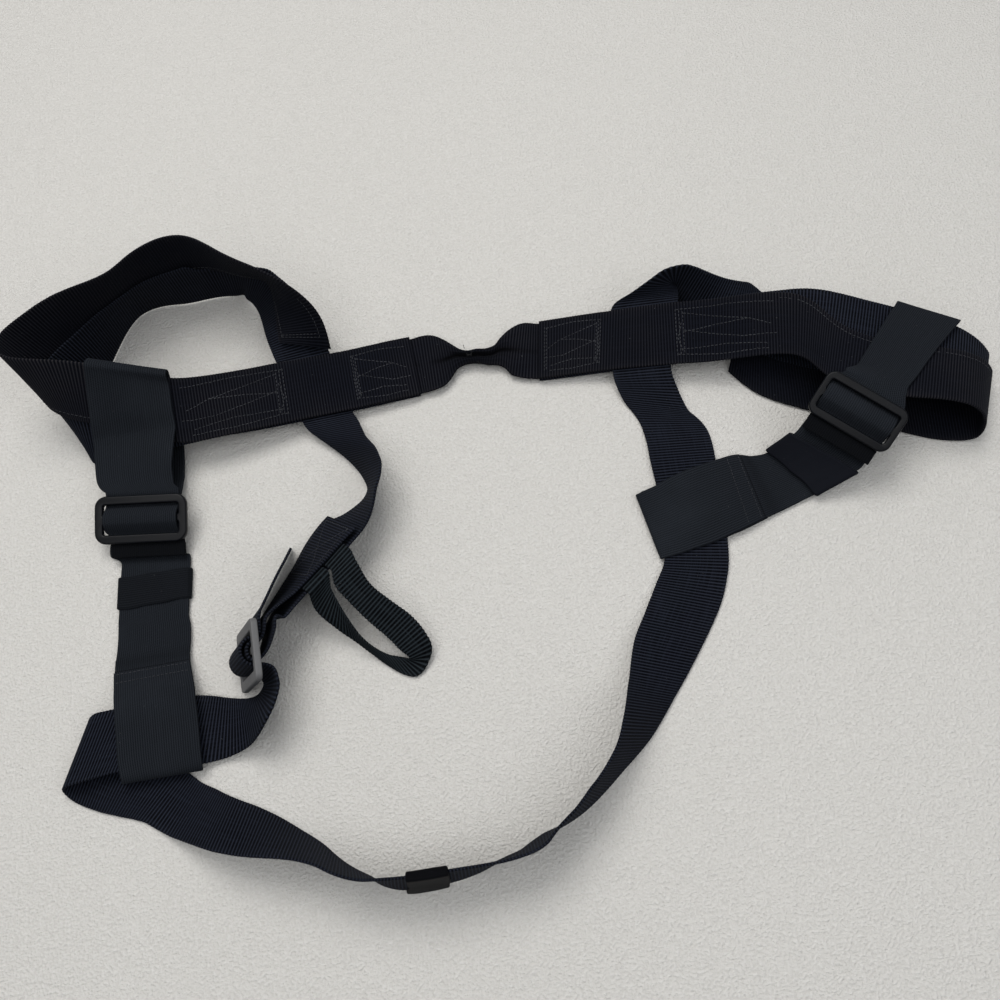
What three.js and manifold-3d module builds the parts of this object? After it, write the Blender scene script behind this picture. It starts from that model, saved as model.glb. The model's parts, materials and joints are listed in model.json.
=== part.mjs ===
import * as THREE from 'three';
import { mergeVertices } from 'three/addons/utils/BufferGeometryUtils.js';
import Module from 'manifold-3d';

// Gait belt with two shoulder loops, a waist strap and two elastic side straps,
// lying on a table. Millimetres, +Z up, table top near z = 0, origin under the
// middle of the outline. Left is -X, right is +X; the yoke lies on the +Y side.

// ---- thicknesses ---------------------------------------------------------
const WEBBING_THICKNESS = 2.0;
const ELASTIC_THICKNESS = 1.5;
const TAB_THICKNESS = 1.6;           // narrow webbing of the pull tab

// Webbing bunched up in the middle of the yoke; places are in rows of YOKE.
const GATHER = { thickness: 5.6, middleRow: 16.4, halfLengthRows: 4.5 };

// ---- tri-glides ----------------------------------------------------------
// side: frame width at each end of the slots, rail: outer long bars, bar: middle bar
const SIDE_GLIDE = {
  width: 61, height: 33, thickness: 4.2, side: 3.5, rail: 5.5, bar: 5.0, bevel: 0.7,
};
const WAIST_GLIDE = {
  width: 64, height: 41, thickness: 4.6, side: 6.2, rail: 7.0, bar: 5.6, bevel: 0.8,
};
const GLIDE_CORNER = 3.2;
const SLOT_CORNER = 1.2;

// ---- keepers: sleeves round a strap --------------------------------------
const KEEPER_GAP = 0.6;
const RIGHT_KEEPER_GAP = KEEPER_GAP + 0.2;
const KEEPER_WALL = 0.9;
const WAIST_KEEPER_WALL = 1.1;
const KEEPER_INNER_CHAMFER = 0.25;
const KEEPER_OUTER_CHAMFER = 1.0;
const KEEPER_ROW_MARGIN = 0.15;      // strap rows closer than this to an end are skipped

// ---- stitching: thin ridges proud of the strap ---------------------------
const STITCH_WIDTH = 1.1;
const STITCH_THICKNESS = 0.5;
const STITCH_MAX_STEP = 1.6;         // longest piece of a sewn line, in strap rows
// Lift: middle of a sewn line above the middle of its strap.
const STITCH_LIFT = 1.75;
const LEFT_LOOP_SEAM_LIFT = 1.9;
const RIGHT_LOOP_SEAM_LIFT = 2.0;
const WAIST_END_LIFT = 2.0;
const ELASTIC_STITCH_LIFT = 1.35;
const BAR_TACK_LIFT = GATHER.thickness / 2 + 0.65;
// Distances in from a strap's edges, as fractions of its width.
const BOX_INSET = 0.1;
const BOX_END_OVERLAP = 0.01;
const ELASTIC_ROW_INSET = 0.04;
const BAR_TACK_INSET = 0.05;

// ---- strap paths ---------------------------------------------------------
// Each row is one station along a strap: the middle of one edge face, then the
// middle of the opposite edge face [ax, ay, az, bx, by, bz].

// Yoke, from left to right.
const YOKE = [
  [-114.3,160.4,15.4,-111.9,114.3,7.8], [-108.3,161.1,15,-106,114.9,7.4],
  [-102.3,161.9,14.6,-100,115.6,6.9], [-96.3,162.7,14.1,-94,116.3,6.5],
  [-90.4,163.5,13.6,-87.9,117.1,6.1], [-84.6,164.2,13,-81.8,117.8,5.7],
  [-78.7,165,12.3,-75.7,118.6,5.2], [-73,165.9,11.6,-69.5,119.3,4.7],
  [-66.8,166.6,11.4,-63.7,119.9,4.8], [-60,167.3,12.2,-58.6,119.9,5.8],
  [-53.6,167.2,12.4,-52.9,120.8,6.6], [-48.2,166,11.5,-46.4,123.1,6.4],
  [-42.5,162.7,10.6,-40.2,128.5,6.9], [-36.5,157.6,10,-34.4,135.9,7.9],
  [-30.9,152.7,9.6,-28.1,138.3,8.7], [-24.9,150.2,9.5,-22.4,138.7,9.1],
  [-17.8,150.6,9.5,-17.3,137.8,9], [-10,149.9,9.4,-13.2,136.4,9.1],
  [-2.8,151.7,9.6,-8.4,134.9,8.8], [2.6,157.2,10.1,-2.6,134,8],
  [9.3,162,10.9,2.6,130.6,7.1], [17,165.1,11.9,6.6,124.8,6.2],
  [23.1,166,11.6,12.4,121.7,5.5], [28.2,165.6,10.5,19,119.9,5],
  [33.2,164.8,9.5,25.9,118.6,4.5], [39.1,164.3,9.6,32,118,4.7],
  [45.2,164,10.4,37.9,117.8,5.1], [51.4,163.6,11.2,43.8,117.5,5.6],
  [57.5,163.1,11.9,49.6,117.2,6], [63.6,162.7,12.8,55.5,116.8,6.6],
  [69.7,162.2,13.7,61.3,116.3,7.2], [75.8,161.6,14.7,67.2,115.8,7.9],
  [81.9,161,15.8,73,115.2,8.6],
];

// Upper layer of the left shoulder, from the yoke round the left loop.
const LEFT_FRONT = [
  [-69.2,166.9,14,-65.5,118.6,7], [-77.9,165.7,15,-74.7,117.4,7.7],
  [-86.6,164.5,16,-83.8,116.2,8.3], [-95.4,163.3,16.8,-92.9,115.1,8.9],
  [-104.3,162.2,17.5,-101.9,114,9.5], [-113.3,161,18.1,-110.8,113,10.2],
  [-122.3,159.9,18.9,-119.6,111.9,10.9], [-131.2,158.7,20.2,-128.5,110.8,11.7],
  [-140,157.4,21.8,-137.4,109.6,12.6], [-148.8,156.1,23.5,-146.2,108.3,13.7],
  [-157.5,154.8,25.1,-155.1,107,15.1], [-166.2,153.4,26.7,-164,105.6,16.7],
  [-174.9,151.9,28.4,-172.8,104.1,18.3], [-183.7,150.3,30.2,-181.5,102.7,19.8],
  [-192.5,148.6,32.3,-190.1,101.2,21.3], [-201.2,146.9,34.5,-198.8,99.8,22.7],
  [-209.8,145.1,36.9,-207.6,98.6,24], [-218.3,143.3,39.6,-216.5,97.4,25.1],
  [-226.7,141.5,42.6,-225.7,96.4,25.7], [-234.8,139.7,45.9,-235,95.4,25.6],
  [-242.9,138.4,49.4,-244.7,95.8,25.2], [-250.7,138.4,52.6,-254.4,98,25.1],
  [-258.4,139.7,55.5,-264.1,101.4,25.4], [-266.1,141.3,58.3,-273.4,105,26.2],
  [-273.7,142.9,61.2,-282.4,108.4,27.5], [-281.3,144.3,64.1,-291.3,111.6,29],
  [-288.6,145.6,67,-300.1,114.6,30.9], [-296.4,147.1,69.9,-308.5,117.4,32.9],
  [-307.4,149.5,72.3,-316.6,119.9,34.4], [-321.7,152.7,73.9,-324.5,122.5,35.4],
  [-336.2,155.4,74.9,-332.3,125.9,35.9], [-349,157.8,75.6,-339.6,130.4,36],
  [-359.8,160.8,76.2,-345.9,136.4,36], [-366.7,165.3,77,-349.9,144.2,36.1],
  [-368.4,170.8,78.2,-350.3,152.9,36.3], [-366.1,176.2,79.6,-347.7,161.6,36.6],
  [-360.6,180.7,81.5,-343.2,169.5,37.1], [-352.1,185.1,83.9,-337.4,176.3,38],
  [-342.1,189.7,86.2,-331.2,182.5,39], [-331.8,194.6,88,-324.9,188.5,39.9],
  [-321.8,199,88.7,-318.6,194.8,40], [-312.3,202.6,88.5,-312.6,201.4,39.5],
  [-303.4,205.7,88,-306.5,208.2,39.1], [-294.8,208.4,87.5,-300.1,214.8,39.2],
  [-286.7,211.4,87.2,-293.4,221,39.6], [-279.4,215.2,87.2,-286.1,226.4,39.9],
  [-272.9,220.1,87.5,-278.3,230.9,40], [-266.5,225.1,88,-269.8,234.2,40],
  [-259.6,229.4,88.5,-260.8,236,40], [-252,233,88.9,-251.8,237.2,40.1],
  [-243.5,235.8,89.1,-242.8,238.6,40.1], [-234.6,237.2,89,-233.9,239.8,40.1],
  [-225.7,236.5,88.7,-224.9,239.9,39.8], [-216.7,232.9,88,-216.2,238.5,39.3],
  [-207.2,226.4,86.7,-208.2,235.6,38.6], [-197.3,218.6,85.4,-200.2,231.8,38.4],
  [-187.1,211.4,84.4,-191.5,228.1,38.6], [-176.5,204.9,83.2,-182.8,224.9,39.1],
  [-166.2,198.8,81,-175.6,221.3,39], [-157.1,193.5,77.4,-171.8,215,36.8],
  [-149.3,188.8,72.4,-170.7,206,34.4], [-142,184,65.5,-170.2,198,33.1],
  [-135.8,178.9,56.7,-170.2,190.3,31.6], [-132.1,174,46.2,-169.9,182.6,31],
  [-130.7,168.5,34.2,-169.7,175.6,30.5], [-130.8,161.9,21,-169.4,169.5,29.6],
];

// Under layer of the left shoulder, round the left loop, back under the shoulder
// and on to the waist slider, where it doubles back.
const LEFT_BACK = [
  [-66.1,119.2,1.8,-69.8,167.5,8.8], [-75.3,118.1,2.4,-78.5,166.4,9.8],
  [-84.4,117,3.1,-87.2,165.3,10.8], [-93.5,115.9,3.7,-96,164.1,11.6],
  [-102.5,114.8,4.3,-104.9,163,12.3], [-111.4,113.8,5,-113.9,161.8,12.9],
  [-120.3,112.8,5.7,-122.9,160.7,13.7], [-129.1,111.7,6.5,-131.8,159.6,15],
  [-138,110.5,7.5,-140.7,158.4,16.6], [-146.9,109.3,8.6,-149.5,157.2,18.3],
  [-155.8,108,10,-158.2,155.8,20], [-164.7,106.6,11.5,-166.9,154.4,21.5],
  [-173.5,105.2,13.1,-175.6,153,23.2], [-182.2,103.8,14.7,-184.4,151.4,25.1],
  [-190.8,102.3,16.6,-193.1,149.7,27.6], [-199.3,100.8,18.7,-201.7,147.9,30.5],
  [-207.9,99.5,20.7,-210.1,146.1,33.6], [-216.7,98.4,22.2,-218.6,144.3,36.6],
  [-225.9,97.5,22.9,-226.9,142.6,39.6], [-235.3,96.7,22.8,-235.1,141,43],
  [-245,96.2,21.9,-243.2,138.8,46], [-254.9,96.3,20.1,-251.2,136.7,47.7],
  [-264.8,96.8,17.9,-259.2,135.1,48], [-274.5,97.4,15.5,-267.3,133.8,47.6],
  [-284.1,98,13.3,-275.6,132.6,46.9], [-293.6,98.5,11.1,-283.9,131.5,45.9],
  [-303.2,99,8.9,-292.1,130.5,44.7], [-312.6,99.4,6.7,-300.4,129.6,43.4],
  [-320.8,99.8,4.6,-309.9,129.4,42.2], [-325.7,101.1,3.2,-322.7,131.2,41.7],
  [-328.5,106.6,3.2,-334.9,135.4,42.4], [-331.2,115.2,3.7,-343.6,140.7,43.6],
  [-333.2,125,4.1,-349.4,147,44.7], [-333.2,135.6,4.1,-351.2,154.3,45.7],
  [-331.2,146,3.9,-349.7,161.5,46.5], [-328.1,156,3.5,-346.1,168.3,47.4],
  [-324.6,165.2,3.1,-340.3,174.6,48.6], [-321.1,173.3,2.9,-332.9,180.9,49.8],
  [-317.5,180.9,2.6,-324.9,187.1,50.6], [-313.9,189,2.3,-317.4,193.4,51],
  [-310.5,197.9,2.1,-310.6,199.4,51], [-306.8,207.1,1.8,-304.1,205.1,50.7],
  [-302.7,216.3,1.5,-297.6,210.5,49.9], [-297.7,224.9,1.3,-291.2,215.8,49],
  [-291.2,232,1.2,-284.4,220.9,48.4], [-282.8,236.4,1.2,-277.2,225.4,48.7],
  [-273.1,238.2,1.4,-269.6,228.9,49.3], [-263.2,238.2,1.6,-261.6,231.2,50],
  [-253.4,237.5,1.7,-253.4,232.9,50.5], [-244.1,237.6,1.8,-244.7,234.6,50.7],
  [-235.1,238.5,1.8,-235.7,236,50.8], [-226,239.1,1.8,-226.8,233.4,45.8],
  [-217.1,239,1.6,-215.7,238.6,35.2], [-209.3,238.5,1.1,-204.7,241.8,34.4],
  [-202.9,238,1.32,-192.6,232.4,48.4], [-199.7,231.1,4.2,-181.5,229.1,47.8],
  [-195.4,225.7,6.1,-170.8,224.6,48.5], [-191.8,219,8.2,-162.9,216.5,47.7],
  [-188.8,211.5,10.4,-156.3,208.5,47.4], [-186.5,203.3,12.8,-152.7,200.1,47],
  [-184.6,194.8,15.4,-148.5,193,45.9], [-182.8,186.4,18,-144,186.9,42.7],
  [-180.9,178.4,20.2,-140.3,181.6,37.5], [-178.9,171,21.7,-137.3,176.8,30.3],
  [-176.9,163.8,22.1,-136,171.1,21.8], [-174.7,156.4,21.9,-134.1,166.1,13.5],
  [-173.1,151,20.3,-131.3,155.3,13.1], [-169,138.5,21.6,-128.5,144.5,14.7],
  [-166.4,130.1,19.3,-126.2,135.9,12.9], [-163.8,121.7,17.1,-124,127.4,11.2],
  [-161.1,113.3,14.9,-121.8,118.8,9.6], [-158.6,105.1,11.8,-119.7,110.5,6.8],
  [-154.8,98.8,10,-115.9,101.1,12], [-150.2,94.4,8,-112.4,90.2,19.3],
  [-145,89.9,6.1,-109,79.7,26.5], [-138.6,84.3,4.6,-105.1,71.3,32.8],
  [-131.8,77.9,3.3,-101.4,63.6,38.2], [-125.4,70.3,2.5,-98.9,55.7,41.7],
  [-119.7,61.8,2.1,-97.5,47.6,43.6], [-115.9,53.6,1.9,-98.8,38.1,45],
  [-114.3,46,2,-102.4,27.7,45.8], [-118.2,38.7,2.1,-105,18.4,44.6],
  [-126.3,32.9,1.6,-108.3,10.7,41.4], [-135.2,28.7,0.79,-113.1,4.6,37],
  [-144.7,25.3,0.85,-118.8,0.3,32.5], [-150.9,18.5,0.84,-125.1,-5.8,32.5],
  [-156.7,11.2,0.83,-131.1,-12.2,33.3], [-162.2,3.5,0.8,-136.9,-18.5,34.5],
  [-167.1,-4.7,0.76,-142.7,-24.7,36.4], [-171.9,-12.9,0.72,-148.5,-31,38.3],
  [-177,-20.6,0.69,-154.7,-37.3,39.7], [-182.3,-27.9,0.66,-161.1,-43.7,40.7],
  [-188.1,-35,0.64,-167.4,-50,41.4], [-193.9,-42.1,0.62,-173.8,-56.3,42],
  [-195.1,-45.1,1.4,-174.9,-56.1,44], [-196.2,-48.1,3.1,-176.1,-55.7,46.1],
  [-197.4,-51.2,4.6,-177.2,-55.8,48], [-198.1,-54.3,5.4,-178,-57.3,48.9],
  [-198.5,-56.8,5.3,-178.4,-59.9,48.8], [-198.8,-59.2,5.1,-178.7,-62.7,48.5],
  [-199.3,-61.7,5,-179.2,-65.4,48.5], [-200.1,-64.1,5.1,-180,-67.9,48.6],
  [-200.9,-66.6,5.3,-180.8,-70.3,48.7], [-201.7,-69.1,5.5,-181.6,-72.8,48.9],
  [-202.7,-71.5,5.7,-182.6,-75.2,49.2], [-203.7,-73.8,6,-183.6,-77.5,49.4],
  [-205,-76.1,6.4,-184.9,-79.8,49.9], [-206.5,-78.1,7,-186.4,-81.8,50.4],
  [-208.3,-79.9,7.6,-188.2,-83.6,51], [-210.4,-81.2,8.5,-190.3,-84.9,51.9],
  [-212.7,-81.7,9.5,-192.6,-85.4,52.9], [-214.9,-80.9,10.6,-194.8,-84.6,54],
  [-216.2,-78.8,11.3,-196.1,-82.5,54.8], [-216.6,-76.3,11.8,-196.5,-80,55.2],
  [-216.5,-73.7,11.9,-196.4,-77.4,55.4], [-215.6,-71.3,11.7,-195.5,-75,55.1],
  [-213.7,-69.9,10.9,-193.5,-73.6,54.4], [-211.3,-69.5,9.9,-191.2,-73.2,53.3],
  [-209.1,-68.5,9,-189,-72.2,52.4], [-207.4,-66.7,8.3,-187.3,-70.4,51.7],
  [-206.3,-64.4,8,-186.2,-68.1,51.4], [-205.6,-61.9,7.9,-185.5,-65.6,51.3],
  [-205.2,-59.3,7.9,-185.1,-63,51.4], [-204.8,-56.8,7.9,-184.7,-60.4,51.4],
  [-204.2,-54.3,7.9,-184.1,-57.8,51.4], [-203.1,-51.7,7.6,-183,-55.8,51],
  [-201.7,-49.2,7.3,-181.5,-54,50.5], [-200.3,-46.6,6.9,-180,-52.5,49.9],
  [-198.7,-44.1,6.4,-178.3,-51,49.3], [-197.2,-41.6,6,-176.6,-49.6,48.6],
  [-195.6,-39.1,5.5,-174.9,-48.2,48], [-194,-36.6,5.1,-173.2,-46.9,47.3],
  [-192.4,-34.1,4.6,-171.5,-45.5,46.6], [-190.7,-31.6,4.2,-169.8,-44.2,46],
  [-189.1,-29.1,3.7,-168.1,-42.8,45.3], [-187.6,-26.6,3.2,-166.4,-41.4,44.7],
  [-186,-24.1,2.8,-164.8,-40,44], [-180.6,-16.7,2.9,-158.2,-33.6,43.1],
  [-175.2,-9.1,2.9,-151.8,-27.3,41.9], [-170.2,-0.9,3,-145.7,-21.1,40.2],
  [-165.1,7.3,3,-139.7,-14.8,38.7], [-159.3,15,3.1,-133.8,-8.5,37.7],
  [-153.1,22.1,3.1,-127.5,-2.3,37], [-146.4,28.5,3.1,-120.6,3.6,36.5],
];

// Upper layer of the right shoulder, from the yoke round the right loop.
const RIGHT_FRONT = [
  [35.1,165.3,12,27.8,117.1,7], [44.2,164.7,13.1,36.6,116.6,7.6],
  [53.3,164.1,14.2,45.3,116.2,8.2], [62.4,163.4,15.4,54,115.6,8.9],
  [71.5,162.6,16.8,62.6,114.9,9.8], [80.5,161.6,18.3,71.2,114,10.9],
  [89.3,160.5,19.9,80,113.1,12], [98,159.5,21.6,88.9,112.1,13],
  [106.6,158.5,23.3,97.9,111.1,14.1], [114.9,157.4,25.2,107.1,110,15.2],
  [123,156.2,27.1,116.5,108.8,16.4], [131.3,154.9,29,125.7,107.6,17.5],
  [140,153.5,30.5,134.6,106.3,18.6], [149.1,152.1,31.8,143.1,105.1,19.6],
  [158.4,150.7,32.9,151.4,103.8,20.5], [167.6,149.4,34.1,159.7,102.7,21.6],
  [176.6,148.3,35.6,168.3,101.7,23], [185.4,147.3,37.3,177,100.7,24.7],
  [193.9,146.3,39,185.9,99.7,26.4], [202.3,145.2,40.6,195,98.3,28.3],
  [210.7,143.6,42,203.8,96.5,30.3], [219.7,141.3,43,211.8,94.1,32.5],
  [228.9,137.6,43.5,218.8,90.5,35], [237.2,131.4,43.6,224.5,84.5,37.6],
  [243.9,122.4,43.5,228.8,75.9,40.3], [249.8,113,43.6,233,67,42.7],
  [256.1,105.1,43.7,238.4,59.4,44.5], [263.2,98.9,43.5,245.1,53.5,45.8],
  [270.9,94,43.1,252.6,48.7,46.8], [279,90.2,42.6,260.7,45,47.6],
  [287.4,87,41.9,268.9,42,48.1], [296,84.3,41.2,277.2,39.6,48.1],
  [304.8,82,40.4,285.7,37.6,48], [313.7,80,39.4,294.2,35.7,47.6],
  [322.6,78,38.3,302.9,33.9,46.9], [331.4,76,36.9,311.7,32,45.9],
  [340,73.7,35,320.4,29.8,44.3], [348.2,71.1,32.3,328.5,27.3,41.7],
  [355.6,68.4,28.2,335.6,24.5,37], [361.5,65.6,22.5,340.9,21.8,30.1],
  [365.2,63.2,15.7,344.3,19.3,21.2], [364,62.7,9.7,345.4,17.4,12],
  [356.5,63.6,6.6,344,16.2,6], [347.1,64.3,5.5,339.6,16,3.3],
  [338.2,65.3,4.9,332.4,16.8,2.1], [329.5,67,4.8,323.9,18.5,1.6],
  [320.8,69.5,5.1,315.6,20.9,1.5], [312.3,72.4,5.7,307.7,23.8,1.6],
  [304,75.8,6.1,299.9,27.2,1.6], [295.7,79.4,6.5,292.2,30.8,1.6],
  [287.4,83,6.9,284.5,34.4,1.6], [279.1,86.6,7.2,276.6,37.9,1.6],
  [270.8,90,7.5,268.7,41.4,1.6], [262.5,93.5,7.9,260.7,44.9,1.6],
  [254.3,97.1,8.3,252.5,48.6,1.6], [246.1,100.7,8.8,244.3,52.3,1.6],
  [238,104.5,9.4,235.9,56.2,1.6], [229.9,108.2,10.2,227.3,60.1,1.6],
  [221.9,112.1,11.1,218.5,64.1,1.6], [214.2,116.3,12.3,209.4,68.7,1.6],
  [207.2,121.3,14,200.2,74.4,1.6], [200.8,127.2,16,191.5,81.3,1.6],
  [195.5,134.6,18.5,183.5,90.3,1.6], [191.6,143.2,22.6,175.2,101.9,1.8],
];

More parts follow.
